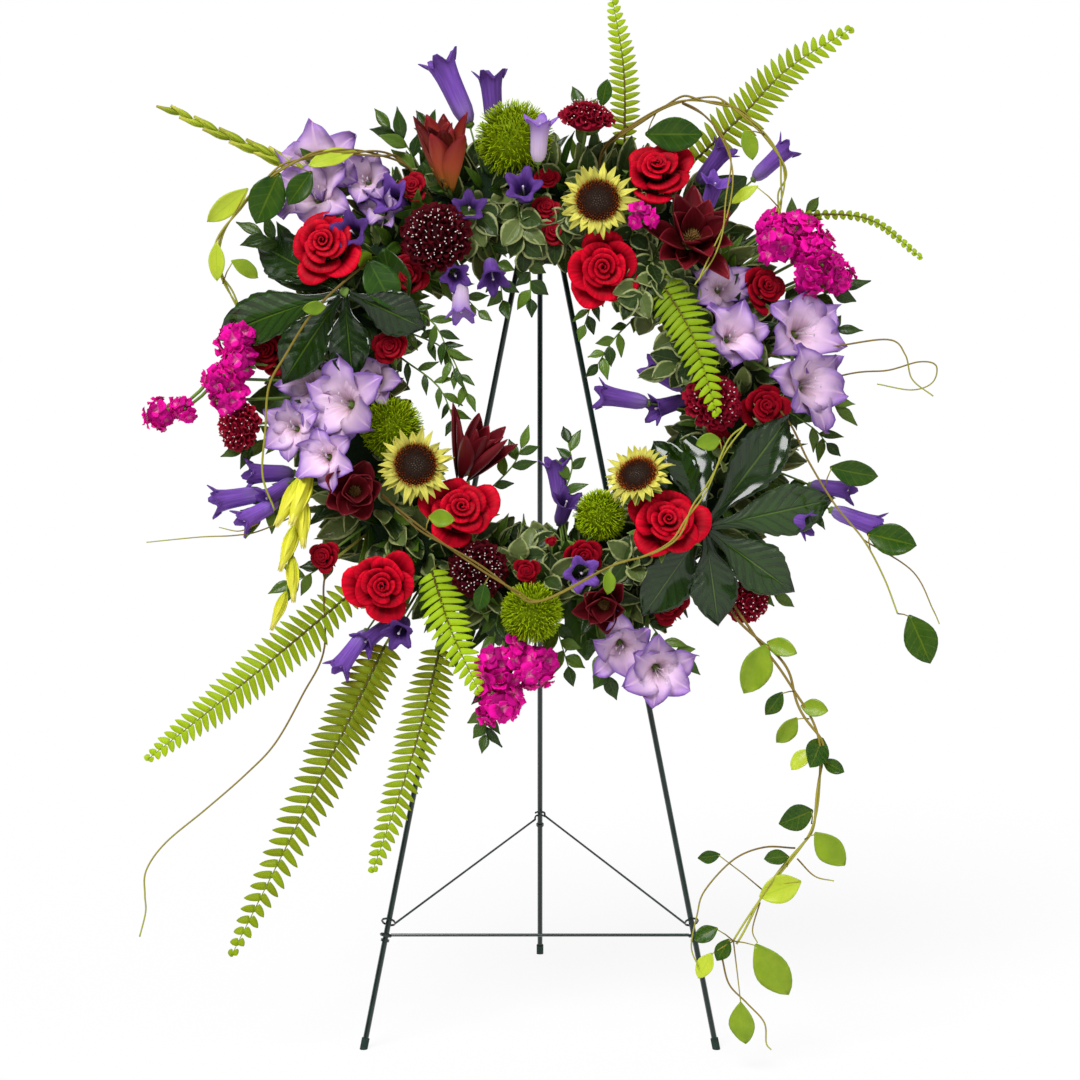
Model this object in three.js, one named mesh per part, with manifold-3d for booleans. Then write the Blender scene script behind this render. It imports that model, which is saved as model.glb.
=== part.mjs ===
// A standing funeral wreath: a ring of wet floral foam in a plastic tray, filled with cut flowers, ferns,
// aralia leaves and trailing vines, hung on a folding three-legged wire easel.
//
// Units are millimetres, +Z is up and -Y is the side that the flowers face. The front legs and the wreath
// are built in a leaning frame of their own: x runs to the right, y up along the slope of the front legs and
// z out towards the viewer. A place on the ring is given as florists give it, by clock angle in degrees from
// the top, reach from the ring's centre and lift in front of the legs.

import * as THREE from "three";
import { mergeVertices } from "three/addons/utils/BufferGeometryUtils.js";
import Module from "manifold-3d";

const wasm = await Module();
wasm.setup();

// Driving dimensions of the easel, a 36 inch one.
const PIVOT_HEIGHT = 914;
const LEAN_DEG = 10; // the front legs lean back by this
const FOOT_SPREAD = 378; // between the two front feet
const REAR_FOOT_BACK = 229; // from below the pivot
const LEG_RADIUS = 3;
const CROSSBAR_RADIUS = 1.7;
const BRACE_RADIUS = 1.2;
const PIN_RADIUS = 2.2;
const KNUCKLE_RADIUS = 6;
const KNUCKLE_LENGTH = 8;
const KNUCKLE_PITCH = 9.2; // along the pin
const CROSSBAR_UP = 121; // along the front legs from the floor
const BRACE_UP = 135;
const BRACE_HOOK_HEIGHT = 183; // above the floor, on the rear leg
const HOOK_RADIUS = 1.6; // of the two wires that the ring hangs on
const FOOT_CAP_RADIUS = 4.2;
const FOOT_CAP_LENGTH = 12;
const FIT_GAP = 0.35; // between pieces that touch

// Driving dimensions of the wreath, a 20 inch foam ring.
const RING_CENTRE_UP = 710; // along the front legs from the floor
const RING_MID_RADIUS = 214;
const FOAM_WIDTH = 72;
const FOAM_DEPTH = 44;
const TRAY_WALL = 2;
const TRAY_DEPTH = 16;
const TRAY_BACK = LEG_RADIUS + 0.8;
const FOAM_BACK = TRAY_BACK + TRAY_WALL + FIT_GAP;
const STEM_RADIUS = 2.2;
const STEM_REACH_IN = 22; // how deep a stem stands in the foam
const LEAF_THICKNESS = 1.4;
const PLANT_GAP = 0.8; // between plants that touch
const RING_SEGMENTS = 24;

const LEAN = THREE.MathUtils.degToRad(LEAN_DEG);
const FRONT_LENGTH = PIVOT_HEIGHT / Math.cos(LEAN);
const FRONT_FOOT_FORWARD = PIVOT_HEIGHT * Math.tan(LEAN);

const COLOURS = {
  easel_paint: ["#12291f", 0.45, 0.3],
  foot_cap: ["#15221d", 0.7, 0],
  galvanised: ["#8b8f8c", 0.4, 0.9],
  tray_plastic: ["#1f3d2a", 0.5, 0],
  foam: ["#3c6b45", 0.95, 0],
  rose: ["#c40d1e", 0.6, 0],
  sunflower: ["#d9d64a", 0.7, 0],
  scabiosa: ["#6e0f2a", 0.8, 0],
  leucadendron: ["#5c1a1e", 0.6, 0],
  dianthus: ["#7ba324", 0.9, 0],
  gladiolus: ["#a98fd8", 0.55, 0],
  stock: ["#c0168c", 0.65, 0],
  campanula: ["#6848b4", 0.6, 0],
  fern: ["#94b83a", 0.6, 0],
  aralia: ["#1f4423", 0.35, 0],
  vine: ["#7fa535", 0.6, 0],
  pittosporum: ["#4f6b45", 0.6, 0],
};

// ---------------------------------------------------------------- solids

const translation = (x, y, z) => new THREE.Matrix4().makeTranslation(x, y, z);
const radians = THREE.MathUtils.degToRad;

function solidFrom(geometry) {
  const bare = new THREE.BufferGeometry();
  const source = geometry.index ? geometry.toNonIndexed() : geometry;
  bare.setAttribute("position", source.getAttribute("position").clone());
  const merged = mergeVertices(bare, 1e-4);
  const triVerts = new Uint32Array(merged.index.array);
  const build = () =>
    new wasm.Manifold(
      new wasm.Mesh({ numProp: 3, vertProperties: merged.attributes.position.array, triVerts }),
    );
  const solid = build();
  if (solid.volume() > 0) return solid;
  for (let i = 0; i < triVerts.length; i += 3) {
    [triVerts[i + 1], triVerts[i + 2]] = [triVerts[i + 2], triVerts[i + 1]];
  }
  return build();
}

function geometryFrom(solid) {
  const mesh = solid.getMesh();
  const positions = new Float32Array(mesh.numVert * 3);
  for (let i = 0; i < mesh.numVert; i++) {
    positions.set(mesh.vertProperties.subarray(i * mesh.numProp, i * mesh.numProp + 3), i * 3);
  }
  const geometry = new THREE.BufferGeometry();
  geometry.setAttribute("position", new THREE.BufferAttribute(positions, 3));
  geometry.setIndex(new THREE.BufferAttribute(new Uint32Array(mesh.triVerts), 1));
  geometry.computeVertexNormals();
  return geometry;
}

const union = (solids) => solids.reduce((all, next) => all.add(next));
const placed = (solid, matrix) => solid.transform(matrix.elements);

function largestBody(solid) {
  const bodies = solid.decompose();
  return bodies.reduce((best, next) => (next.volume() > best.volume() ? next : best));
}

function bend(geometry, move) {
  const position = geometry.getAttribute("position");
  const point = new THREE.Vector3();
  for (let i = 0; i < position.count; i++) {
    point.fromBufferAttribute(position, i);
    move(point);
    position.setXYZ(i, point.x, point.y, point.z);
  }
  return geometry;
}

// A rod between two points, or along a smooth curve through several.
function rod(points, radius, { sides = 8, steps = 1 } = {}) {
  const section = new THREE.Shape();
  for (let i = 0; i < sides; i++) {
    const angle = (i / sides) * 2 * Math.PI;
    section[i ? "lineTo" : "moveTo"](radius * Math.cos(angle), radius * Math.sin(angle));
  }
  section.closePath();
  const path = points.length === 2 ? new THREE.LineCurve3(...points) : new THREE.CatmullRomCurve3(points);
  return solidFrom(
    new THREE.ExtrudeGeometry(section, { extrudePath: path, steps, bevelEnabled: false }),
  );
}

// A turned form about z, with its rim scalloped into lobes. The profile is [radius, z] in parts of size.
function turned(profile, size, segments, { lobes = 0, depth = 0, twist = 0, deep = size } = {}) {
  const points = profile.map(([r, z]) => new THREE.Vector2(r * size, z * deep));
  const geometry = new THREE.LatheGeometry(points, segments);
  geometry.rotateX(Math.PI / 2);
  return solidFrom(
    bend(geometry, (p) => {
      const radius = Math.hypot(p.x, p.y) / size;
      const angle = Math.atan2(p.y, p.x);
      const swell = 1 + depth * radius * Math.cos(lobes * angle + twist * p.z);
      p.x *= swell;
      p.y *= swell;
    }),
  );
}

// A flat plate of the outline's shape. It is widened by spread, then warped by move.
function plate(outline, thickness, grow, spread, move = () => {}) {
  const shape = new THREE.Shape(outline.map(([x, y]) => new THREE.Vector2(x, y)));
  const geometry = new THREE.ExtrudeGeometry(shape, { depth: thickness, bevelEnabled: false });
  geometry.translate(0, 0, -thickness / 2);
  return solidFrom(
    bend(geometry, (p) => {
      p.z += Math.sign(p.z) * grow;
      spread(p);
      move(p);
    }),
  );
}

// Widens a plate about its own centre by grow, size being its half width.
const spreadAbout = (size, grow) => (p) => {
  p.x *= 1 + grow / size;
  p.y *= 1 + grow / size;
};

// Lays a geometry drawn along +y, from 0 to length, on a curve that faces the viewer.
function layAlong(points, length) {
  const curve = new THREE.CatmullRomCurve3(points);
  const out = new THREE.Vector3(0, 0, 1);
  return (p) => {
    const share = THREE.MathUtils.clamp(p.y / length, 0, 1);
    const along = curve.getTangentAt(share);
    const across = new THREE.Vector3().crossVectors(along, out).normalize();
    const facing = new THREE.Vector3().crossVectors(across, along);
    const spare = p.y - share * length;
    const [x, z] = [p.x, p.z];
    p.copy(curve.getPointAt(share));
    p.addScaledVector(across, x).addScaledVector(facing, z).addScaledVector(along, spare);
  };
}

// ---------------------------------------------------------------- flowers and leaves
// Each form is a function of grow: 0 gives the piece, and a small gap gives the room that it needs, which is
// cut out of the pieces that touch it.

const ROSE_PROFILE = [
  [0, -0.75], [0.6, -0.55], [1, 0], [0.8, 0.05], [0.76, 0.25], [0.54, 0.17], [0.46, 0.4], [0.24, 0.3],
  [0, 0.42],
];
const SMALL_ROSE_PROFILE = [[0, -0.8], [0.8, -0.4], [1, 0.1], [0.7, 0.12], [0.6, 0.36], [0, 0.42]];
const DOME_PROFILE = [[0, -0.45], [0.8, -0.25], [1, 0.05], [0.8, 0.4], [0, 0.62]];
const DISC_PROFILE = [[0, -0.3], [0.62, -0.08], [0.62, 0.14], [0, 0.2]];
const TRUMPET_PROFILE = [[0, -1.3], [0.35, -0.5], [1, 0.15], [0.4, -0.1], [0, -0.35]];
const BELL_PROFILE = [[0, -1.9], [0.55, -1.4], [0.55, -0.2], [1, 0.3], [0, -0.4]];


// The room of a turned form is filled: the hollows of its profile are left out.
function filled(profile) {
  const kept = [];
  const top = Math.max(...profile.map(([, z]) => z));
  for (const point of [...profile, [0, top]]) {
    while (kept.length > 1) {
      const [[ar, az], [br, bz]] = kept.slice(-2);
      if ((br - ar) * (point[1] - bz) - (bz - az) * (point[0] - br) > 0) break;
      kept.pop();
    }
    kept.push(point);
  }
  return kept;
}
const turnedForm = (profile, segments, lobing) => (size) => (grow) =>
  turned(grow ? filled(profile) : profile, size + grow, segments, lobing);

const rose = turnedForm(ROSE_PROFILE, 12, { lobes: 5, depth: 0.06, twist: 0.2 });
const smallRose = turnedForm(SMALL_ROSE_PROFILE, 9, { lobes: 4, depth: 0.07, twist: 0.3 });
const scabiosa = turnedForm(DOME_PROFILE, 12, { lobes: 6, depth: 0.03 });
const trumpet = turnedForm(TRUMPET_PROFILE, 12, { lobes: 6, depth: 0.16 });
const bell = turnedForm(BELL_PROFILE, 10, { lobes: 5, depth: 0.14 });
const seedDisc = turnedForm(DISC_PROFILE, 10);
const floret = (size) => (grow) => solidFrom(new THREE.IcosahedronGeometry(size + grow, 0));

function sunflower(size) {
  const petals = 16;
  const outline = [];
  for (let i = 0; i < 2 * petals; i++) {
    const angle = (i / petals) * Math.PI;
    const reach = i % 2 ? 0.66 * size : size;
    outline.push([reach * Math.sin(angle), reach * Math.cos(angle)]);
  }
  return (grow) =>
    plate(outline, 3, grow, spreadAbout(size, grow), (p) => {
      p.z += 4 - 7 * (Math.hypot(p.x, p.y) / size) ** 2;
    }).add(seedDisc(size)(grow));
}

// Pointed bracts standing round a core, open by splay degrees.
function leucadendron(size, splay) {
  const bracts = 7;
  return (grow) => {
    const parts = [smallRose(0.36 * size)(grow)];
    for (let i = 0; i < bracts; i++) {
      const inner = i % 2;
      const bract = new THREE.SphereGeometry(1, 4, 3);
      bract.scale(0.19 * size + grow, 0.62 * size + grow, 0.09 * size + grow);
      bract.translate(0, 0.5 * size, 0);
      bract.rotateX(radians(90 - splay * (inner ? 0.55 : 1)));
      bract.rotateZ((i / bracts) * 2 * Math.PI);
      parts.push(solidFrom(bract));
    }
    return union(parts);
  };
}

const dianthus = (size) => (grow) => solidFrom(new THREE.IcosahedronGeometry(size + grow, 1));

// Palmate aralia leaf. Each lobe is [direction in degrees from up, length].
function araliaLeaf(lobes) {
  const outline = [];
  lobes.forEach(([direction, length], i) => {
    const next = lobes[(i + 1) % lobes.length];
    const turn = (((next[0] - direction) % 360) + 360) % 360;
    for (const [side, share] of [[-15, 0.62], [-9, 0.86], [0, 1], [9, 0.86], [15, 0.62]]) {
      outline.push([direction + side, length * share]);
    }
    outline.push([direction + turn / 2, turn > 90 ? 12 : 34]);
  });
  const corner = ([direction, length]) => [
    length * Math.sin(radians(direction)),
    length * Math.cos(radians(direction)),
  ];
  const longest = Math.max(...lobes.map((lobe) => lobe[1]));
  return (grow) =>
    plate(outline.map(corner).reverse(), LEAF_THICKNESS, grow, spreadAbout(40, grow), (p) => {
      p.z -= 16 * (Math.hypot(p.x, p.y) / longest) ** 2;
    });
}

// A leaf from its foot, in the direction given in degrees clockwise from up, tipped out of the plane.
function leafAt([x, up, lift], direction, length, width, tip = 10) {
  const matrix = translation(x, up, lift)
    .multiply(new THREE.Matrix4().makeRotationZ(-radians(direction)))
    .multiply(new THREE.Matrix4().makeRotationX(radians(tip)));
  const half = [[0.9, 0.3], [0.8, 0.65]].map(([x, y]) => [(x * width) / 2, y * length]);
  const outline = [[0, -2], ...half, [0, length], ...half.map(([x, y]) => [-x, y]).reverse()];
  return (grow) => placed(plate(outline, LEAF_THICKNESS, grow, spreadAbout(width / 2, grow)), matrix);
}

// A saw-edged fern frond laid on a curve, widest a third of the way along.
function fernFrond(points, halfWidth, pinnae) {
  const length = new THREE.CatmullRomCurve3(points).getLength();
  const edge = (side) => {
    const points2 = [];
    for (let i = 0; i < pinnae; i++) {
      const share = (i + 0.5) / pinnae;
      const reach = halfWidth * Math.min(1, 0.55 + 1.6 * share) * Math.sqrt(1 - share ** 2) + 1;
      points2.push([side * reach, (share + 0.15 / pinnae) * length]);
      points2.push([side * (1.5 + 0.3 * reach), ((i + 1) / pinnae) * length * 0.998]);
    }
    return points2;
  };
  const outline = [[1.5, 0], ...edge(1), [0, length], ...edge(-1).reverse(), [-1.5, 0]];
  return (grow) => {
    const widen = (p) => {
      p.x += Math.sign(p.x) * grow;
    };
    return plate(outline, LEAF_THICKNESS, grow, widen, layAlong(points, length));
  };
}

// ---------------------------------------------------------------- assembling the pieces

const pieces = []; // { name, colour, solid, room, group, home }

const onRing = (clock, reach, lift) =>
  new THREE.Vector3(
    reach * Math.sin(radians(clock)),
    RING_CENTRE_UP + reach * Math.cos(radians(clock)),
    lift,
  );

const v = (x, up, lift) => new THREE.Vector3(x, up, lift);

// Adds a plant to the leaning frame.
const plant = (name, colour, form, home) => add(slope, name, colour, form, home, PLANT_GAP);

// Adds a piece to a group's frame. It is cut where it meets the room of the pieces already there.
function add(group, name, colour, form, home = new THREE.Matrix4(), gap = FIT_GAP) {
  let solid = form(0);
  const box = solid.boundingBox();
  for (const other of pieces) {
    if (other.group !== group || !boxesMeet(box, other.room.boundingBox())) continue;
    solid = solid.subtract(other.room);
  }
  solid = largestBody(solid);
  pieces.push({ name, colour, solid, room: form(gap), group, home });
}

function boxesMeet(a, b) {
  return [0, 1, 2].every((i) => a.min[i] <= b.max[i] && b.min[i] <= a.max[i]);
}

function meshOf({ name, colour, solid, home }) {
  const geometry = geometryFrom(placed(solid, home.clone().invert()));
  const [paint, roughness, metalness] = COLOURS[colour];
  const material = new THREE.MeshStandardMaterial({ color: paint, roughness, metalness });
  const mesh = new THREE.Mesh(geometry, material);
  mesh.name = name;
  home.decompose(mesh.position, mesh.quaternion, mesh.scale);
  return mesh;
}

// ---------------------------------------------------------------- the easel

const legX = (side, up) => {
  const top = side * KNUCKLE_PITCH;
  return top + (side * FOOT_SPREAD * 0.5 - top) * (1 - up / FRONT_LENGTH);
};
const frontPoint = (side, up, lift = 0) => v(legX(side, up), up, lift);

// A cylinder about x, for the pin and the knuckles that turn on it.
function barrel(centre, radius, length, sides = 12) {
  const geometry = new THREE.CylinderGeometry(radius, radius, length, sides);
  geometry.rotateZ(Math.PI / 2);
  geometry.translate(centre.x, centre.y, centre.z);
  return solidFrom(geometry);
}

function legWithKnuckle(foot, top, knuckle, grow) {
  const shaft = rod([foot, top], LEG_RADIUS + grow);
  const eye = barrel(knuckle, KNUCKLE_RADIUS + grow, KNUCKLE_LENGTH + 2 * grow);
  const bore = barrel(knuckle, PIN_RADIUS + FIT_GAP - grow, 3 * KNUCKLE_LENGTH, 10);
  return shaft.add(eye).subtract(bore);
}

// A crimped collar that keeps a wire eye from sliding down its leg.
const collarBelow = (place, down, grow) =>
  rod([place, place.clone().addScaledVector(down, 3)], LEG_RADIUS + 1.6 + grow, { sides: 8 });

// A wire eye that stands round a leg, its plane square to the leg's run or tipped from it.
function wireEye(place, run, wireRadius, innerRadius, grow, tip = 0) {
  const geometry = new THREE.TorusGeometry(innerRadius + wireRadius, wireRadius + grow, 5, 10);
  const turn = new THREE.Quaternion().setFromUnitVectors(v(0, 0, 1), run.clone().normalize());
  geometry.applyQuaternion(turn);
  geometry.applyQuaternion(new THREE.Quaternion().setFromAxisAngle(v(1, 0, 0), tip));
  geometry.translate(place.x, place.y, place.z);
  return solidFrom(geometry);
}

const slope = new THREE.Group(); // the leaning frame of the front legs and the wreath
slope.position.set(0, -FRONT_FOOT_FORWARD, 0);
slope.rotation.x = Math.PI / 2 - LEAN;
slope.updateMatrixWorld(true);
const upright = new THREE.Group(); // the rear leg, the braces and the foot caps, in level axes

const toWorld = slope.matrixWorld;
const inWorld = (point) => point.clone().applyMatrix4(toWorld);
const pivotOnSlope = v(0, FRONT_LENGTH, LEG_RADIUS - KNUCKLE_RADIUS); // its front flush with the legs
const pivot = inWorld(pivotOnSlope);
const rearFoot = v(0, REAR_FOOT_BACK, 0);
const rearDown = rearFoot.clone().sub(pivot).normalize();

// A moulded cap on a leg's end, cut level where it stands on the floor.
function footCap(name, foot, towardsKnuckle) {
  const up = towardsKnuckle.clone().normalize();
  const start = foot.clone().addScaledVector(up, -4);
  const end = foot.clone().addScaledVector(up, FOOT_CAP_LENGTH);
  const legEnd = foot.clone().addScaledVector(up, 3.2);
  add(upright, name, "foot_cap", (grow) => {
    const floor = new THREE.BoxGeometry(40, 40, 20).translate(foot.x, foot.y, -10);
    return rod([start, end], FOOT_CAP_RADIUS + grow, { sides: 12 })
      .subtract(rod([legEnd, end.clone().addScaledVector(up, 5)], LEG_RADIUS + FIT_GAP - grow))
      .subtract(solidFrom(floor));
  });
}

const sides = [[-1, "left"], [1, "right"]];

function addFrontLegs() {
  for (const [side, word] of sides) {
    const knuckle = pivotOnSlope.clone().add(v(side * KNUCKLE_PITCH, 0, 0));
    const ground = frontPoint(side, 0);
    const top = frontPoint(side, FRONT_LENGTH - 2);
    const up = top.clone().sub(ground).normalize();
    const foot = ground.clone().addScaledVector(up, 3.6);
    const stop = frontPoint(side, CROSSBAR_UP - 4);
    const hookUp = RING_CENTRE_UP + RING_MID_RADIUS - FOAM_WIDTH / 2 - TRAY_WALL - 4.6;
    const hookFront = FOAM_BACK + FOAM_DEPTH + 3;
    const hook = [[0, 0], [hookFront - 8, -1], [hookFront, 2], [hookFront + 3, 9], [hookFront + 2, 18]].map(
      ([lift, rise]) => frontPoint(side, hookUp, lift).add(v(0, rise, 0)),
    );
    add(slope, `front_leg_${word}`, "easel_paint", (grow) =>
      union([
        legWithKnuckle(foot, top, knuckle, grow),
        collarBelow(stop, up.clone().negate(), grow),
        rod(hook, HOOK_RADIUS + grow, { sides: 6, steps: 7 }),
      ]),
    );
    footCap(`foot_cap_${word}`, inWorld(ground), inWorld(top).sub(inWorld(ground)));
  }
}

function addCrossbar() {
  const inner = 3.7; // room for the leg
  add(slope, "crossbar", "easel_paint", (grow) => {
    const parts = sides.map(([side]) => {
      const place = frontPoint(side, CROSSBAR_UP);
      const run = frontPoint(side, CROSSBAR_UP + 50).sub(place);
      return wireEye(place, run, CROSSBAR_RADIUS, inner, grow);
    });
    const from = frontPoint(-1, CROSSBAR_UP).add(v(inner + CROSSBAR_RADIUS, 0, 0));
    const to = frontPoint(1, CROSSBAR_UP).sub(v(inner + CROSSBAR_RADIUS, 0, 0));
    return union([rod([from, to], CROSSBAR_RADIUS + grow), ...parts]);
  });
}

function addRearLeg() {
  const foot = rearFoot.clone().addScaledVector(rearDown, -3.6);
  const hookPlace = pivot.clone().addScaledVector(rearDown, (pivot.z - BRACE_HOOK_HEIGHT) / -rearDown.z);
  const stop = hookPlace.clone().addScaledVector(rearDown, 12);
  const top = pivot.clone().addScaledVector(rearDown, KNUCKLE_RADIUS - 1.5);
  add(upright, "rear_leg", "easel_paint", (grow) =>
    legWithKnuckle(foot, top, pivot, grow).add(collarBelow(stop, rearDown, grow)),
  );
  footCap("foot_cap_rear", rearFoot, rearDown.clone().negate());
  return hookPlace;
}

// Each brace has an eye round a front leg and an open hook behind the rear leg, so the rear leg folds
// forward out of the hooks. Its wire leaves the eye on the inner side, which keeps it off the leg when it
// is folded up.
function addBraces(hookPlace) {
  const eyeInner = 6.2;
  for (const [side, word] of sides) {
    const eyePlace = inWorld(frontPoint(side, BRACE_UP));
    const run = inWorld(frontPoint(side, BRACE_UP + 50)).sub(eyePlace);
    const reach = LEG_RADIUS + BRACE_RADIUS + 1.2;
    const height = side * 2.2;
    const near = hookPlace.clone().add(v(side * (reach + 0.6), -12, height - 1.5));
    const hook = [
      near,
      hookPlace.clone().add(v(side * reach, -2, height)),
      hookPlace.clone().add(v(side * reach * 0.7, reach * 0.75, height)),
      hookPlace.clone().add(v(0, reach, height)),
      hookPlace.clone().add(v(-side * reach * 0.7, reach * 0.75, height)),
      hookPlace.clone().add(v(-side * reach, -1, height)),
    ];
    const inwards = v(-side, 0, 0).projectOnPlane(run.clone().normalize()).normalize();
    const start = eyePlace.clone().addScaledVector(inwards, eyeInner + BRACE_RADIUS);
    const towards = near.clone().sub(start).normalize();
    add(upright, `brace_${word}`, "easel_paint", (grow) =>
      union([
        wireEye(eyePlace, run, BRACE_RADIUS, eyeInner, grow, radians(-32)),
        rod([start, near.clone().addScaledVector(towards, 1)], BRACE_RADIUS + grow),
        rod(hook, BRACE_RADIUS + grow, { sides: 5, steps: 10 }),
      ]),
    );
  }
}

function addPin() {
  add(slope, "pivot_pin", "galvanised", (grow) => {
    const shank = barrel(pivotOnSlope, PIN_RADIUS + grow, 2 * KNUCKLE_PITCH + KNUCKLE_LENGTH + 4, 8);
    const heads = sides.map(([side]) => {
      const end = v(side * (KNUCKLE_PITCH + KNUCKLE_LENGTH / 2 + 1.6), 0, 0);
      return barrel(pivotOnSlope.clone().add(end), 3.8 + grow, 2, 8);
    });
    return union([shank, ...heads]);
  });
}

// ---------------------------------------------------------------- the foam ring

// A ring about the wreath's centre, from a section of [across, lift] corners given anticlockwise.
function ringSolid(section) {
  const points = section.map(([across, lift]) => new THREE.Vector2(RING_MID_RADIUS + across, lift));
  points.push(points[0].clone());
  const geometry = new THREE.LatheGeometry(points, RING_SEGMENTS);
  geometry.rotateX(Math.PI / 2);
  geometry.translate(0, RING_CENTRE_UP, 0);
  return solidFrom(geometry);
}

function addTray() {
  add(slope, "foam_tray", "tray_plastic", (grow) => {
    const outer = FOAM_WIDTH / 2 + TRAY_WALL + FIT_GAP + grow;
    const inner = outer - TRAY_WALL - 2 * grow;
    const back = TRAY_BACK - grow;
    return ringSolid([
      [-outer, back], [outer, back], [outer, back + TRAY_DEPTH], [inner, back + TRAY_DEPTH],
      [inner, back + TRAY_WALL + 2 * grow], [-inner, back + TRAY_WALL + 2 * grow],
      [-inner, back + TRAY_DEPTH], [-outer, back + TRAY_DEPTH],
    ]);
  });
}

function foamRing() {
  const half = FOAM_WIDTH / 2;
  const front = FOAM_BACK + FOAM_DEPTH;
  return ringSolid([
    [-half, FOAM_BACK], [half, FOAM_BACK], [half, front - 14], [half - 14, front], [14 - half, front],
    [-half, front - 14],
  ]);
}

// ---------------------------------------------------------------- planting the foam

// Where a stem from this place stands in the foam: the nearest point of the ring's middle.
function foamPoint(place) {
  const out = v(place.x, place.y - RING_CENTRE_UP, 0).normalize();
  const lift = FOAM_BACK + FOAM_DEPTH - STEM_REACH_IN;
  return v(out.x * RING_MID_RADIUS, RING_CENTRE_UP + out.y * RING_MID_RADIUS, lift);
}

const stemTo = (place, radius = STEM_RADIUS) => (grow) =>
  rod([foamPoint(place), place], radius + grow, { sides: 5 });

// The frame of a bloom at a place: z is the way it faces, which leans from the viewer by lean degrees
// towards a clock direction.
function facing(place, lean, towards, spin = 0) {
  const out = v(Math.sin(radians(towards)), Math.cos(radians(towards)), 0);
  const way = v(0, 0, Math.cos(radians(lean))).addScaledVector(out, Math.sin(radians(lean)));
  const turn = new THREE.Quaternion().setFromUnitVectors(v(0, 0, 1), way);
  turn.multiply(new THREE.Quaternion().setFromAxisAngle(v(0, 0, 1), radians(spin)));
  return new THREE.Matrix4().compose(place, turn, v(1, 1, 1));
}

// One bloom on its own stem.
function bloom(name, colour, form, clock, reach, lift, attitude = {}) {
  const { lean = 12, towards = clock, back = 0.5, size } = attitude;
  const place = onRing(clock, reach, lift);
  const home = facing(place, lean, towards);
  const neck = v(0, 0, -back * size).applyMatrix4(home);
  plant(name, colour, (grow) => placed(form(size)(grow), home).add(stemTo(neck)(grow)), home);
}

// Several heads on one branching stem. Each head is [form, size, x, up, lift, lean, towards].
function spray(name, colour, root, heads) {
  const base = v(...root);
  plant(name, colour, (grow) => {
    const parts = [stemTo(base)(grow)];
    for (const [form, size, x, up, lift, lean, towards] of heads) {
      const home = facing(v(x, up, lift), lean, towards);
      const neck = v(0, 0, -0.9 * size).applyMatrix4(home);
      parts.push(placed(form(size)(grow), home), rod([base, neck], 1.6 + grow, { sides: 4 }));
    }
    return union(parts);
  }, translation(...root));
}

// A rooted frond or trail: extra parts joined to a stem that stands in the foam.
const rooted = (points, parts, radius = STEM_RADIUS) => (grow) =>
  union([stemTo(points[0], radius)(grow), ...parts.map((part) => part(grow))]);

function vine(name, points, leaves, radius, steps, sideShoots = []) {
  const runs = [points, ...sideShoots].map(
    (run) => (grow) => rod(run, radius + grow, { sides: 4, steps: run === points ? steps : 6 }),
  );
  const blades = leaves.map(([x, up, lift, direction, length, width]) =>
    leafAt([x, up, lift], direction, length, width),
  );
  const form = rooted(points, [...runs, ...blades], radius + 0.4);
  plant(name, "vine", form, translation(...points[0].toArray()));
}

function addRoses() {
  bloom("rose_1", "rose", rose, 302, 271, 85, { size: 39, lean: 22, towards: 320 });
  bloom("rose_2", "rose", rose, 29, 258, 80, { size: 40, lean: 28, towards: 0 });
  bloom("rose_3", "rose", rose, 30, 138, 90, { size: 43, lean: 10, towards: 230 });
  bloom("rose_4", "rose", rose, 217, 272, 92, { size: 40, lean: 10, towards: 200 });
  bloom("rose_5", "rose", rose, 211, 162, 92, { size: 42, lean: 14, towards: 20 });
  bloom("rose_6", "rose", rose, 139, 203, 105, { size: 43, lean: 14, towards: 20 });
  bloom("spray_rose_1", "rose", smallRose, 309, 181, 70, { size: 23, lean: 20, towards: 130 });
  bloom("spray_rose_2", "rose", smallRose, 283, 163, 78, { size: 21, lean: 15, towards: 90 });
  bloom("spray_rose_3", "rose", smallRose, 67, 261, 70, { size: 27, lean: 35, towards: 90 });
  bloom("spray_rose_4", "rose", smallRose, 96, 241, 62, { size: 27, lean: 15, towards: 60 });
}

function addFocalFlowers() {
  bloom("sunflower_1", "sunflower", sunflower, 18, 198, 104, { size: 42, lean: 8, towards: 20, back: 0.2 });
  bloom("sunflower_2", "sunflower", sunflower, 235, 160, 100, { size: 41, lean: 8, towards: 90, back: 0.2 });
  bloom("sunflower_3", "sunflower", sunflower, 135, 145, 78, { size: 39, lean: 34, towards: 340, back: 0.2 });
  bloom("scabiosa_1", "scabiosa", scabiosa, 324, 187, 92, { size: 34, lean: 8, towards: 90, back: 0.3 });
  bloom("scabiosa_2", "scabiosa", scabiosa, 10, 286, 76, { size: 28, lean: 62, towards: 0, back: 0.3 });
  bloom("scabiosa_3", "scabiosa", scabiosa, 198, 211, 85, { size: 29, lean: 8, towards: 20, back: 0.3 });
  const open = (splay) => (size) => leucadendron(size, splay);
  bloom("leucadendron_1", "leucadendron", open(38), 335, 232, 70, {
    size: 46, lean: 66, towards: 350, back: 0.2,
  });
  bloom("leucadendron_2", "leucadendron", open(62), 47, 222, 84, {
    size: 45, lean: 20, towards: 30, back: 0.2,
  });
  bloom("leucadendron_3", "leucadendron", open(68), 239, 229, 78, {
    size: 40, lean: 14, towards: 120, back: 0.2,
  });
  bloom("dianthus_1", "dianthus", dianthus, 354, 267, 58, { size: 37, lean: 20, towards: 0, back: 0.7 });
  bloom("dianthus_2", "dianthus", dianthus, 182, 246, 78, { size: 29, lean: 10, towards: 180, back: 0.7 });
}

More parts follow.
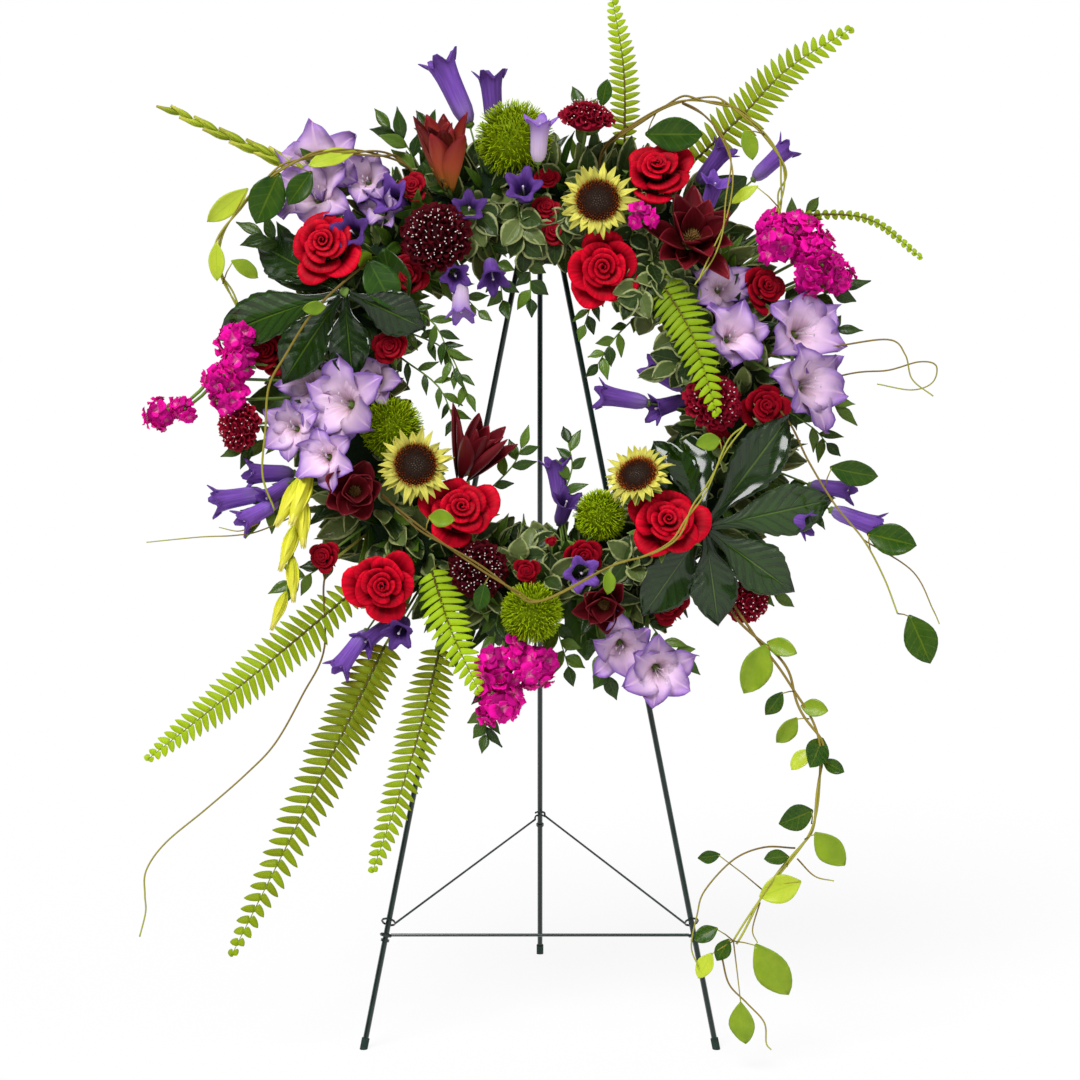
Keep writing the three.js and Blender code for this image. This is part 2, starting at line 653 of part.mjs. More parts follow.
function addSpikes() {
  spray("gladiolus_1", "gladiolus", [-205, 900, 55], [
    [trumpet, 36, -241, 950, 62, 50, 330], [trumpet, 35, -247, 912, 84, 34, 260],
    [trumpet, 26, -186, 930, 72, 40, 20],
  ]);
  spray("gladiolus_2", "gladiolus", [-220, 705, 58], [
    [trumpet, 41, -206, 683, 104, 20, 120], [trumpet, 27, -262, 660, 92, 45, 250],
    [trumpet, 28, -226, 628, 100, 40, 190],
  ]);
  spray("gladiolus_3", "gladiolus", [225, 740, 58], [
    [trumpet, 33, 208, 758, 94, 20, 215], [trumpet, 40, 284, 765, 90, 30, 60],
    [trumpet, 41, 287, 706, 98, 22, 130],
  ]);
  spray("gladiolus_4", "gladiolus", [105, 455, 55], [
    [trumpet, 36, 125, 398, 86, 40, 140], [trumpet, 30, 88, 424, 74, 52, 225],
  ]);
  spray("stock_1", "stock", [-262, 735, 55], [
    [floret, 17, -322, 742, 66, 0, 0], [floret, 16, -330, 722, 72, 0, 0], [floret, 15, -330, 705, 68, 0, 0],
    [floret, 14, -318, 764, 66, 0, 0], [floret, 10, -403, 697, 60, 0, 0],
  ]);
  spray("stock_2", "stock", [232, 850, 55], [
    [floret, 18, 248, 872, 76, 0, 0], [floret, 18, 280, 866, 80, 0, 0], [floret, 18, 296, 850, 76, 0, 0],
    [floret, 17, 292, 822, 74, 0, 0], [floret, 15, 318, 838, 70, 0, 0],
  ]);
  spray("stock_3", "stock", [-20, 450, 58], [
    [floret, 18, -36, 410, 78, 0, 0], [floret, 18, -30, 385, 80, 0, 0], [floret, 16, -28, 366, 76, 0, 0],
    [floret, 16, 2, 410, 78, 0, 0],
  ]);
  spray("campanula_1", "campanula", [-92, 965, 52], [
    [bell, 14, -106, 1058, 58, 84, 337], [bell, 13, -52, 1046, 48, 80, 5],
  ]);
  spray("campanula_2", "campanula", [-255, 625, 50], [
    [bell, 15, -345, 580, 54, 80, 258],
    [bell, 15, -312, 614, 50, 80, 265],
    [bell, 14, -318, 560, 56, 75, 240],
  ]);
  spray("campanula_3", "campanula", [168, 700, 52], [
    [bell, 14, 67, 700, 60, 82, 270], [bell, 14, 128, 735, 56, 50, 300], [bell, 13, 128, 668, 52, 50, 240],
  ]);
}

function addFoliage() {
  bloom("aralia_leaf_1", "aralia", () => araliaLeaf([
    [256, 159], [216, 120], [175, 91], [113, 92], [60, 60], [303, 118], [340, 70],
  ].sort((a, b) => a[0] - b[0])), 294, 226, 104, { size: 10, lean: 6, towards: 240, back: 0.1 });
  bloom("aralia_leaf_2", "aralia", () => araliaLeaf([
    [38, 152], [78, 151], [125, 117], [171, 103], [214, 118], [349, 100], [290, 60],
  ].sort((a, b) => a[0] - b[0])), 132, 234, 84, { size: 10, lean: 6, towards: 90, back: 0.1 });
  const fronds = [
    [[v(-175, 508, 52), v(-307, 396, 60), v(-416, 309, 60)], 31, 14],
    [[v(-150, 480, 50), v(-230, 294, 60), v(-325, 103, 60)], 34, 17],
    [[v(-98, 470, 46), v(-135, 316, 48), v(-178, 190, 45)], 29, 13],
    [[v(125, 850, 62), v(159, 756, 108), v(186, 669, 118)], 32, 9],
    [[v(88, 940, 40), v(91, 1056, 45), v(78, 1139, 50)], 15, 10],
    [[v(150, 930, 38), v(243, 1030, 48), v(339, 1100, 55)], 19, 11],
  ];
  fronds.forEach(([points, halfWidth, pinnae], i) => {
    const form = rooted(points, [fernFrond(points, halfWidth, pinnae)], 1.8);
    plant(`fern_frond_${i + 1}`, "fern", form, translation(...points[0].toArray()));
  });
}

function addVines() {
  vine(
    "trailing_vine_right",
    [
      v(196, 500, 56), v(225, 443, 70), v(254, 407, 80), v(285, 345, 90), v(293, 280, 90), v(268, 214, 90),
      v(233, 166, 90), v(201, 122, 90), v(196, 78, 95), v(232, 39, 95), v(239, 14, 95),
    ],
    [
      [238, 425, 76, 195, 56, 36], [262, 395, 84, 250, 34, 22], [286, 345, 90, 235, 36, 24],
      [294, 310, 90, 95, 30, 20], [290, 266, 90, 215, 40, 24], [284, 245, 90, 130, 48, 24],
      [262, 208, 90, 185, 42, 24], [226, 158, 90, 155, 58, 30], [197, 92, 94, 280, 30, 22],
      [216, 58, 94, 195, 40, 16],
    ],
    1.5,
    26,
    [[v(266, 216, 90), v(222, 216, 95), v(171, 174, 95), v(157, 117, 95), v(166, 96, 95)]],
  );
  vine(
    "trailing_vine_side",
    [v(205, 700, 56), v(266, 666, 70), v(313, 577, 80), v(350, 534, 80), v(398, 500, 82), v(427, 452, 84)],
    [[300, 602, 78, 75, 52, 30], [350, 534, 80, 110, 44, 26], [377, 463, 80, 130, 50, 34]],
    1.3,
    14,
    [[v(342, 545, 80), v(363, 501, 80), v(378, 461, 80)]],
  );
  vine(
    "arching_vine",
    [
      v(62, 930, 54), v(92, 981, 75), v(140, 1009, 85), v(206, 1004, 90), v(257, 942, 90), v(262, 905, 90),
      v(236, 878, 96),
    ],
    [[112, 996, 82, 70, 66, 38], [222, 995, 90, 170, 34, 24]],
    1.6,
    14,
  );
  vine(
    "hanging_stem_left",
    [
      v(-222, 520, 54),
      v(-230, 426, 50),
      v(-280, 327, 60),
      v(-352, 258, 60),
      v(-412, 200, 60),
      v(-421, 124, 60),
    ],
    [],
    1.3,
    14,
  );
}

// Pittosporum sprigs that cover the foam between the blooms. Each leaf is [clock, reach, lift, direction].
function addGreens() {
  const sprigs = [
    [352, [[338, 170, 60, 170], [348, 160, 64, 185], [357, 168, 66, 165], [5, 165, 62, 190],
      [352, 205, 64, 150],
      [344, 215, 62, 200]]],
    [62, [[48, 165, 60, 215], [56, 152, 62, 230], [64, 158, 60, 245], [70, 170, 58, 205],
      [58, 180, 64, 190]]],
    [170, [[160, 258, 62, 185], [168, 285, 60, 195], [175, 262, 60, 170], [166, 300, 56, 165],
      [172, 230, 62, 200]]],
  ];
  sprigs.forEach(([clock, leaves], i) => {
    const base = onRing(clock, RING_MID_RADIUS, FOAM_BACK + FOAM_DEPTH + 2);
    const parts = leaves.map(([at, reach, lift, direction]) => {
      const foot = onRing(at, reach, lift);
      const twig = (grow) => rod([base, foot], 1.5 + grow, { sides: 4 });
      const leaf = leafAt([foot.x, foot.y, foot.z], direction, 44, 26);
      return (grow) => twig(grow).add(leaf(grow));
    });
    plant(`pittosporum_${i + 1}`, "pittosporum", rooted([base], parts, 2), translation(...base.toArray()));
  });
}

// ---------------------------------------------------------------- the whole object

addFrontLegs();
addPin();
addCrossbar();
addTray();
addRoses();
addFocalFlowers();
addSpikes();
addFoliage();
addVines();
addGreens();
addBraces(addRearLeg());

const planted = pieces.filter((piece) => piece.group === slope);
const foam = planted.reduce((solid, piece) => solid.subtract(piece.room), foamRing());
pieces.push({
  name: "foam_ring",
  colour: "foam",
  solid: largestBody(foam),
  group: slope,
  home: translation(0, RING_CENTRE_UP, FOAM_BACK),
});

for (const piece of pieces) piece.group.add(meshOf(piece));

const wreath = new THREE.Group();
wreath.add(slope, upright);
wreath.updateMatrixWorld(true);

// The origin is on the floor, below the middle of the object's box.
const box = new THREE.Box3().setFromObject(wreath, true);
wreath.position.set(-(box.min.x + box.max.x) / 2, -(box.min.y + box.max.y) / 2, -box.min.z);

export default wreath;
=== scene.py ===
"""A standing funeral wreath: fresh flowers, ferns, aralia leaves and trailing vines rooted in a foam ring
that hangs on a folding wire easel.

The flowers are placed in the leaning frame of the easel's front legs: x to the right, up along the slope of
the legs and lift towards the viewer, in millimetres. A place on the ring is a clock angle in degrees from the
top, a reach from the ring's centre and a lift.
"""

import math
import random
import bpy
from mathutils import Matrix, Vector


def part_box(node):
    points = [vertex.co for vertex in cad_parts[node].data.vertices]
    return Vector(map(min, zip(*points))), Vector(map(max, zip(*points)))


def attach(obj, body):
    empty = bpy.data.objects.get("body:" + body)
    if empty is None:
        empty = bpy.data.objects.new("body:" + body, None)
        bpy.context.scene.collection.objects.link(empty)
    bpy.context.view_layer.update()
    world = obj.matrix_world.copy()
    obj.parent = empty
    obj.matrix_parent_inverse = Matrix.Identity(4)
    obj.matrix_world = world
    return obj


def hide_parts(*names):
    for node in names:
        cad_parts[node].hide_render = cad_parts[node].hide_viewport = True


bl_info = {
    "name": "Standing Funeral Wreath",
    "version": (1, 0, 0),
    "blender": (4, 5, 0),
    "location": "View3D > Sidebar > Wreath",
    "description": "Fresh flowers and greens on a foam ring, hung on a folding wire easel",
    "category": "Object",
}

import bmesh
import bpy
from bpy.props import FloatProperty, FloatVectorProperty, IntProperty, PointerProperty
from mathutils import Matrix, Vector

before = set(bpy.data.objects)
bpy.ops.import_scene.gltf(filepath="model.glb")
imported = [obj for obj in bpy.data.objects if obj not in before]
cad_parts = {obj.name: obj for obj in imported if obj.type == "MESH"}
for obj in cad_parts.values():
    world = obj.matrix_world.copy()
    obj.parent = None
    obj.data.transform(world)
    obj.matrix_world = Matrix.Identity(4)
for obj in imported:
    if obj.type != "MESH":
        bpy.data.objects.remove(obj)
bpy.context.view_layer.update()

MM = 0.001
FLOOR_REACH = 30  # metres from the middle of the floor to its edge
SENSOR_WIDTH = 36
GOLDEN = math.radians(137.5)  # the turn from one petal to the next in a spiral
WREATH = "stand_and_wreath"  # the body that every flower and leaf rides on

# The leaning frame, in millimetres.
LEAN = math.radians(10)
FEET_FORWARD = 161.16
RING_UP = 710
RING_RADIUS = 214
FOAM_FRONT = 48
ROOT_DEPTH = 18
PIVOT = Vector((0, 2.95, 913.48))
PIN_LOW, PIN_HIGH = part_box("pivot_pin")
PIN_MIDDLE = (PIN_LOW + PIN_HIGH) / 2
# Takes millimetres in the leaning frame to metres in the object's frame.
SLOPE = (
    Matrix.Translation(PIN_MIDDLE) @ Matrix.Scale(MM, 4) @ Matrix.Translation(-PIVOT)
    @ Matrix.Translation((0, -FEET_FORWARD, 0)) @ Matrix.Rotation(math.pi / 2 - LEAN, 4, "X")
)

# ---------------------------------------------------------------- places


def on_ring(clock, reach, lift):
    """The point at a clock angle in degrees, a reach from the ring's centre and a lift."""
    a = math.radians(clock)
    return Vector((reach * math.sin(a), RING_UP + reach * math.cos(a), lift))


def root_of(place):
    """The point in the foam that a stem from this place stands in."""
    out = Vector((place[0], place[1] - RING_UP, 0)).normalized() * RING_RADIUS
    return Vector((out.x, RING_UP + out.y, FOAM_FRONT - ROOT_DEPTH))


def facing(clock, reach, lift, lean, towards, spin=0.0):
    """A bloom's own frame: +Z is the way it faces, leaning from the viewer towards a clock direction."""
    a = math.radians(towards)
    axis = Vector((-math.cos(a), math.sin(a), 0))
    turn = Matrix.Rotation(math.radians(lean), 4, axis)
    return Matrix.Translation(on_ring(clock, reach, lift)) @ turn @ Matrix.Rotation(math.radians(spin), 4, "Z")


def ray(angle, start=0.0, rise=0.0, tilt=0.0):
    """A petal's frame in its bloom: its foot is start out at this angle, and it tilts up from the plane."""
    foot = Matrix.Rotation(angle, 4, "Z") @ Matrix.Translation((0, start, rise))
    return foot @ Matrix.Rotation(tilt, 4, "X")


OUTWARDS = Vector((0, 0, 1))


def on_dome(angle, polar):
    """The turn from a dome's top down to a point on it."""
    return Matrix.Rotation(angle, 4, "Z") @ Matrix.Rotation(-polar, 4, "X")


def along_to(place, way, out, roll):
    """A leaf's frame: its foot at place, +Y the way it runs and +Z as near to out as that allows."""
    y = Vector(way).normalized()
    x = y.cross(out).normalized()
    turn = Matrix((x, y, x.cross(y))).transposed().to_4x4()
    return Matrix.Translation(place) @ turn @ Matrix.Rotation(roll, 4, "Y")


def smooth_path(points, steps):
    """Points on a Catmull-Rom curve through the given ones."""
    p = [Vector(q) for q in points]
    p = [2 * p[0] - p[1], *p, 2 * p[-1] - p[-2]]
    spans = len(p) - 3
    path = []
    for k in range(steps + 1):
        at = min(k * spans / steps, spans - 1e-6)
        i, t = int(at), at - int(at)
        a, b, c, d = p[i : i + 4]
        bend = 2 * b + (c - a) * t + (2 * a - 5 * b + 4 * c - d) * t * t + (3 * b - a - 3 * c + d) * t**3
        path.append(bend / 2)
    return path


def sample(values, t):
    """Linear reading of a list of evenly spaced numbers or pairs, t from 0 to 1."""
    at = max(0.0, min(1.0, t)) * (len(values) - 1)
    i = min(int(at), len(values) - 2)
    f = at - i
    low, high = values[i], values[i + 1]
    if isinstance(low, tuple):
        return tuple(a + (b - a) * f for a, b in zip(low, high))
    return low + (high - low) * f


# ---------------------------------------------------------------- shaping with bmesh

PETAL = "petal"  # each vertex keeps its share along, its share across and its petal's tone
SHEET = "sheet"  # faces that still need their thickness
SEAM_GAP = 1e-3
TOOTH = 0.11  # how far a leaf's teeth stand out, as a share of half its width


def new_piece():
    bm = bmesh.new()
    bm.verts.layers.float_color.new(PETAL)
    bm.faces.layers.int.new(SHEET)
    return bm


def mark(bm, verts, material, sheet=False):
    """Gives the faces round these vertices their material, and says whether they are a sheet."""
    faces = {f for v in verts for f in v.link_faces}
    layer = bm.faces.layers.int[SHEET]
    for f in faces:
        f.material_index = material
        f[layer] = int(sheet)
    return faces


def paint(bm, verts, tone, along=0.5):
    layer = bm.verts.layers.float_color[PETAL]
    for v in verts:
        v[layer] = (along, 0.5, tone, 1)


def blade(
    bm, place, length, half, widths, grid=(4, 6), bend=0.0, cup=0.0, ruffle=0.0, waves=3.0, twist=0.0,
    tone=0.5, material=0, teeth=0,
):
    """A petal or leaf from a grid, from its foot along +Y and facing +Z. It curls by bend, folds by cup."""
    verts = bmesh.ops.create_grid(bm, x_segments=grid[0], y_segments=grid[1], size=1)["verts"]
    layer = bm.verts.layers.float_color[PETAL]
    phase = tone * 40
    for v in verts:
        across, along = v.co.x, (v.co.y + 1) / 2
        side = half * sample(widths, along)
        if teeth:
            side *= 1 + TOOTH * ((along * teeth) % 1) * abs(across)
        turn = bend * along
        y, z = length * along, 0.0
        if abs(bend) > 1e-3:
            y, z = length * math.sin(turn) / bend, length * (1 - math.cos(turn)) / bend
        rise = cup * side * across * across
        rise += ruffle * abs(across) * along * math.sin(waves * math.pi * along + phase + 2 * across)
        roll = twist * along
        x = across * side * math.cos(roll) - rise * math.sin(roll)
        rise = across * side * math.sin(roll) + rise * math.cos(roll)
        v.co = place @ Vector((x, y - rise * math.sin(turn), z + rise * math.cos(turn)))
        v[layer] = (along, (across + 1) / 2, tone, 1)
    mark(bm, verts, material, sheet=True)


def wrap(
    bm, place, phi, profile, spans, grid=(8, 7), dip=0.15, spiral=0.0, ruffle=0.0, waves=3.0, lobes=0,
    lobe_reach=0.0, lobe_rise=0.0, fall=0.0, tone=0.5, material=0,
):
    """A petal curved round its bloom's axis, or a whole bell where spans is math.pi. The profile is a list
    of (radius, height) from foot to rim."""
    verts = bmesh.ops.create_grid(bm, x_segments=grid[0], y_segments=grid[1], size=1)["verts"]
    layer = bm.verts.layers.float_color[PETAL]
    whole = spans == math.pi
    for v in verts:
        across, along = v.co.x, (v.co.y + 1) / 2
        share = along * (1 - dip * abs(across) ** 1.25 * along)
        radius, height = sample(profile, share)
        angle = phi + across * (spans if whole else sample(spans, along))
        radius *= 1 + spiral * across
        height -= fall * abs(across) ** 3 * along**2
        radius += ruffle * along**2 * math.sin(waves * across + tone * 40)
        if lobes:
            swing = math.cos(lobes * angle) * along**5
            radius += lobe_reach * swing
            height += lobe_rise * swing
        v.co = place @ Vector((radius * math.cos(angle), radius * math.sin(angle), height))
        v[layer] = (along, (across + 1) / 2, tone, 1)
    mark(bm, verts, material, sheet=True)
    if whole:
        seam = [v for v in verts if len(v.link_faces) < 4]
        bmesh.ops.remove_doubles(bm, verts=seam, dist=SEAM_GAP)


def ball(bm, place, size, tone=0.5, material=0, detail=2, stretch=(1, 1, 1)):
    matrix = place @ Matrix.Diagonal((*stretch, 1))
    verts = bmesh.ops.create_icosphere(bm, subdivisions=detail, radius=size, matrix=matrix)["verts"]
    paint(bm, verts, tone)
    mark(bm, verts, material)


def spike(bm, place, radius, depth, along=0.5, tone=0.5, material=0, sides=5, tip=0.0):
    """A small cone standing on its foot."""
    verts = bmesh.ops.create_cone(
        bm, cap_ends=True, segments=sides, radius1=radius, radius2=tip, depth=depth,
        matrix=place @ Matrix.Translation((0, 0, depth / 2)),
    )["verts"]
    paint(bm, verts, tone, along)
    mark(bm, verts, material)


def tube(bm, path, start, end, sides=6, tone=0.5, material=0):
    """A stem along a path, tapering from start to end: a ring that is extruded from point to point."""
    way = (path[1] - path[0]).normalized()
    ring = bmesh.ops.create_circle(
        bm, cap_ends=True, segments=sides, radius=start,
        matrix=Matrix.Translation(path[0]) @ way.to_track_quat("Z", "Y").to_matrix().to_4x4(),
    )["verts"]
    edges = list({e for v in ring for e in v.link_edges})
    paint(bm, ring, tone, 0)
    made = list(ring)
    last = len(path) - 1
    radii = [start + (end - start) * k / last for k in range(last + 1)]
    for k in range(1, last + 1):
        ahead = (path[min(k + 1, last)] - path[k - 1]).normalized()
        turn = way.rotation_difference(ahead)
        way = ahead
        grown = bmesh.ops.extrude_edge_only(bm, edges=edges)["geom"]
        ring = [g for g in grown if isinstance(g, bmesh.types.BMVert)]
        edges = [g for g in grown if isinstance(g, bmesh.types.BMEdge)]
        for v in ring:
            v.co = path[k] + (turn @ (v.co - path[k - 1])) * (radii[k] / radii[k - 1])
        paint(bm, ring, tone, k / last)
        made += ring
    cap = bmesh.ops.contextual_create(bm, geom=edges)["faces"]
    faces = mark(bm, made, material) | set(cap)
    bmesh.ops.recalc_face_normals(bm, faces=list(faces))


def root(bm, place, start, end, sides=6):
    """A straight end of a stem, from the foam to the place where the stem begins."""
    tube(bm, [root_of(place), Vector(place)], start, end, sides, 0.4, 1)


def stem(bm, place, radius, tone=0.4, material=1):
    """A bloom's stem, from behind the bloom down into the foam."""
    foot = root_of(place)
    knee = foot.lerp(place, 0.55)
    knee.z = max(knee.z, FOAM_FRONT + 4)
    tube(bm, smooth_path([foot, knee, place], 4), radius, radius * 0.85, 6, tone, material)


def finish_piece(bm, name, slot, finishes, node, thickness):
    """Gives the sheets their thickness, turns the mesh into an object in place and ties it to the wreath.
    The node is the CAD solid that it stands for, if any."""
    layer = bm.faces.layers.int[SHEET]
    sheets = [f for f in bm.faces if f[layer]]
    if sheets:
        bmesh.ops.solidify(bm, geom=sheets, thickness=thickness)
    bm.transform(SLOPE)
    mesh = bpy.data.meshes.new(name)
    bm.to_mesh(mesh)
    bm.free()
    mesh.shade_smooth()
    for finish in finishes:
        mesh.materials.append(finish_of(finish))
    piece = bpy.data.objects.new(name, mesh)
    bpy.context.scene.collection.objects.link(piece)
    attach(piece, WREATH)
    if node:
        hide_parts(node)


# ---------------------------------------------------------------- materials


class Nodes:
    """A material's node tree, with short ways to add and link its nodes."""

    def __init__(self, name):
        self.material = bpy.data.materials.new(name)
        self.material.use_nodes = True
        self.tree = self.material.node_tree
        self.shader = self.tree.nodes["Principled BSDF"]

    def add(self, kind, inputs=(), **settings):
        node = self.tree.nodes.new(kind)
        for key, value in settings.items():
            setattr(node, key, value)
        for key, value in dict(inputs).items():
            self.put(node.inputs[key], value)
        return node

    def put(self, socket, value):
        if isinstance(value, bpy.types.NodeSocket):
            self.tree.links.new(value, socket)
        else:
            socket.default_value = value

    def math(self, operation, a, b=0.0):
        return self.add("ShaderNodeMath", {0: a, 1: b}, operation=operation).outputs[0]

    def wander(self, noise, width):
        """A noise between 0 and 1 as a shift this wide about nought."""
        return self.math("MULTIPLY", self.math("SUBTRACT", noise, 0.5), width)

    def mix(self, share, under, over):
        """The colour of a socket with this share of another colour over it."""
        return self.add("ShaderNodeMix", {0: share, 6: under, 7: (*over, 1)}, data_type="RGBA").outputs[2]

    def ramp(self, share, stops):
        node = self.add("ShaderNodeValToRGB", {"Fac": share})
        elements = node.color_ramp.elements
        while len(elements) < len(stops):
            elements.new(0.5)
        for element, (at, colour) in zip(elements, stops):
            element.position = at
            element.color = (*colour, 1)
        return node.outputs["Color"]

    def step(self, value, low, high):
        node = self.add("ShaderNodeMapRange", {0: value, 1: low, 2: high}, interpolation_type="SMOOTHSTEP")
        return node.outputs[0]

    def line(self, distance, narrow, wide):
        """1 on a line and 0 away from it."""
        return self.math("SUBTRACT", 1.0, self.step(distance, narrow, wide))

    def petal(self):
        """The shares along and across and the tone of the petal that a point is on."""
        colour = self.add("ShaderNodeAttribute", attribute_name=PETAL).outputs["Color"]
        split = self.add("ShaderNodeSeparateColor", {"Color": colour})
        return split.outputs[0], split.outputs[1], split.outputs[2]

    def off_middle(self, across):
        """How far a point is from its petal's middle line, 1 at the edges."""
        return self.math("MULTIPLY", self.math("ABSOLUTE", self.math("SUBTRACT", across, 0.5)), 2.0)

    def toned(self, colour, tone, spread):
        """Makes each petal lighter or darker by its own tone."""
        light = self.math("ADD", 1.0 - spread / 2, self.math("MULTIPLY", tone, spread))
        return self.add("ShaderNodeHueSaturation", {"Value": light, "Color": colour}).outputs[0]

    def object_noise(self, scale):
        place = self.add("ShaderNodeTexCoord").outputs["Object"]
        inputs = {"Vector": place, "Scale": scale, "Detail": 4.0, "Roughness": 0.55}
        return self.add("ShaderNodeTexNoise", inputs).outputs["Fac"]

    def streaks(self, along, across, tone, fine):
        """Fine lines that run along a petal, other ones on each petal."""
        shares = (across, fine), (along, 2.0), (tone, 37.0)
        spot = [self.math("MULTIPLY", share, scale) for share, scale in shares]
        point = self.add("ShaderNodeCombineXYZ", enumerate(spot)).outputs[0]
        return self.add("ShaderNodeTexNoise", {"Vector": point, "Scale": 1.0, "Detail": 3.0}).outputs["Fac"]

    def bump(self, height, strength, distance=0.0006):
        node = self.add("ShaderNodeBump", {"Height": height, "Strength": strength, "Distance": distance})
        self.put(self.shader.inputs["Normal"], node.outputs[0])

    def finish(self, colour, settings):
        """Gives the shader its colour and its settings."""
        for key, value in {"Base Color": colour, **settings}.items():
            self.put(self.shader.inputs[key], value)
        return self.material


COAT_ROUGHNESS = 0.12  # of leaves and enamel


def shade(colour, value):
    """A darker or lighter colour, as ramp stops need it."""
    return tuple(min(1, part * value) for part in colour)


def petal_finish(name, foot, middle, tip, roughness=0.55, sheen=0.0, streak=0.25, fine=30.0, edge=None,
                 midrib=None, spread=0.35, glow=0.12, coat=0.0, turns=(0.45, 0.95)):
    """A petal: its colour runs from foot to tip, with fine streaks, and each petal has its own tone."""
    n = Nodes(name)
    along, across, tone = n.petal()
    streaks = n.streaks(along, across, tone, fine)
    share = n.math("ADD", along, n.wander(streaks, 0.25))
    colour = n.ramp(share, [(0.0, foot), (turns[0], middle), (turns[1], tip)])
    off_middle = n.off_middle(across)
    if edge:
        rim = n.math("MULTIPLY", n.step(off_middle, 0.55, 1.0), n.step(along, 0.25, 0.8))
        colour = n.mix(rim, colour, edge)
    if midrib:
        colour = n.mix(n.math("MULTIPLY", n.line(off_middle, 0.02, 0.14), 0.6), colour, midrib)
    colour = n.mix(n.math("MULTIPLY", n.line(streaks, 0.35, 0.7), streak), colour, shade(middle, 0.35))
    n.bump(streaks, 0.35)
    settings = {
        "Roughness": roughness, "Specular IOR Level": 0.06, "Coat Weight": coat, "Coat Roughness": 0.25,
        "Sheen Weight": sheen, "Sheen Tint": (*shade(tip, 1.6), 1), "Sheen Roughness": 0.45,
        "Subsurface Weight": glow, "Subsurface Radius": (0.004, 0.002, 0.001), "Subsurface Scale": 0.4,
    }
    return n.finish(n.toned(colour, tone, spread), settings)


def leaf_finish(name, dark, middle, light, roughness=0.35, veins=7.0, vein_colour=None, margin=None,
                vein_share=0.45, relief=0.5, coat=0.0, glow=0.05, quilting=0.0012, gloss=0.12):
    """A leaf: dark to light by its tone, with a midrib, side veins and, on some plants, a pale margin."""
    n = Nodes(name)
    along, across, tone = n.petal()
    patch = n.object_noise(60.0)
    colour = n.ramp(n.math("ADD", tone, n.wander(patch, 0.25)), [(0.0, dark), (0.5, middle), (1.0, light)])
    off_middle = n.off_middle(across)
    slant = n.math("SUBTRACT", n.math("MULTIPLY", along, veins), n.math("MULTIPLY", off_middle, veins * 0.22))
    side = n.math("ABSOLUTE", n.math("SUBTRACT", n.math("FRACT", slant), 0.5))
    lines = n.math("MAXIMUM", n.line(off_middle, 0.01, 0.09), n.math("MULTIPLY", n.line(side, 0.0, 0.09), 0.55))
    colour = n.mix(n.math("MULTIPLY", lines, vein_share), colour, vein_colour or shade(light, 1.25))
    if margin:
        wavy = n.math("ADD", off_middle, n.wander(n.object_noise(220.0), 0.35))
        colour = n.mix(n.math("MULTIPLY", n.step(wavy, 0.72, 0.86), 0.85), colour, margin)
    quilt = n.math("MULTIPLY", n.math("SUBTRACT", 0.5, side), n.math("MULTIPLY", off_middle, -1.2))
    height = n.math("ADD", n.math("MULTIPLY", lines, -0.5), n.math("MULTIPLY", patch, 0.5))
    n.bump(n.math("ADD", height, quilt), relief, quilting)
    rough = n.math("ADD", roughness - 0.08, n.math("MULTIPLY", patch, 0.16))
    settings = {
        "Roughness": rough, "Specular IOR Level": gloss, "Coat Weight": coat, "Coat Roughness": COAT_ROUGHNESS,
        "Subsurface Weight": glow,
    }
    return n.finish(colour, settings)


def plain_finish(name, low, high, roughness, scale, bump=0.3, distance=0.0004, metallic=0.0, coat=0.0):
    """A finish that varies with the place on the piece, such as enamel, foam or plastic."""
    n = Nodes(name)
    grain = n.object_noise(scale)
    colour = n.ramp(n.step(grain, 0.3, 0.7), [(0.0, low), (1.0, high)])
    n.bump(grain, bump, distance)
    rough = n.math("ADD", roughness - 0.1, n.math("MULTIPLY", grain, 0.2))
    settings = {
        "Roughness": rough, "Metallic": metallic, "Specular IOR Level": 0.25, "Coat Weight": coat,
        "Coat Roughness": COAT_ROUGHNESS,
    }
    return n.finish(colour, settings)


def tone_finish(name, stops, roughness=0.5, spread=0.5):
    """A finish whose colour follows the share along, such as a stem or the rings of a seed disc."""
    n = Nodes(name)
    along, _, tone = n.petal()
    grain = n.object_noise(300.0)
    colour = n.ramp(n.math("ADD", along, n.wander(grain, 0.12)), stops)
    n.bump(grain, 0.4)
    return n.finish(n.toned(colour, tone, spread), {"Roughness": roughness, "Specular IOR Level": 0.08})


FINISHES = {}


def finish_of(name):
    """The finish with this name. All of them are made when the first is asked for."""
    if not FINISHES:
        make_finishes(bpy.context.scene.wreath_blooms, bpy.context.scene.wreath_greens)
    return FINISHES[name]


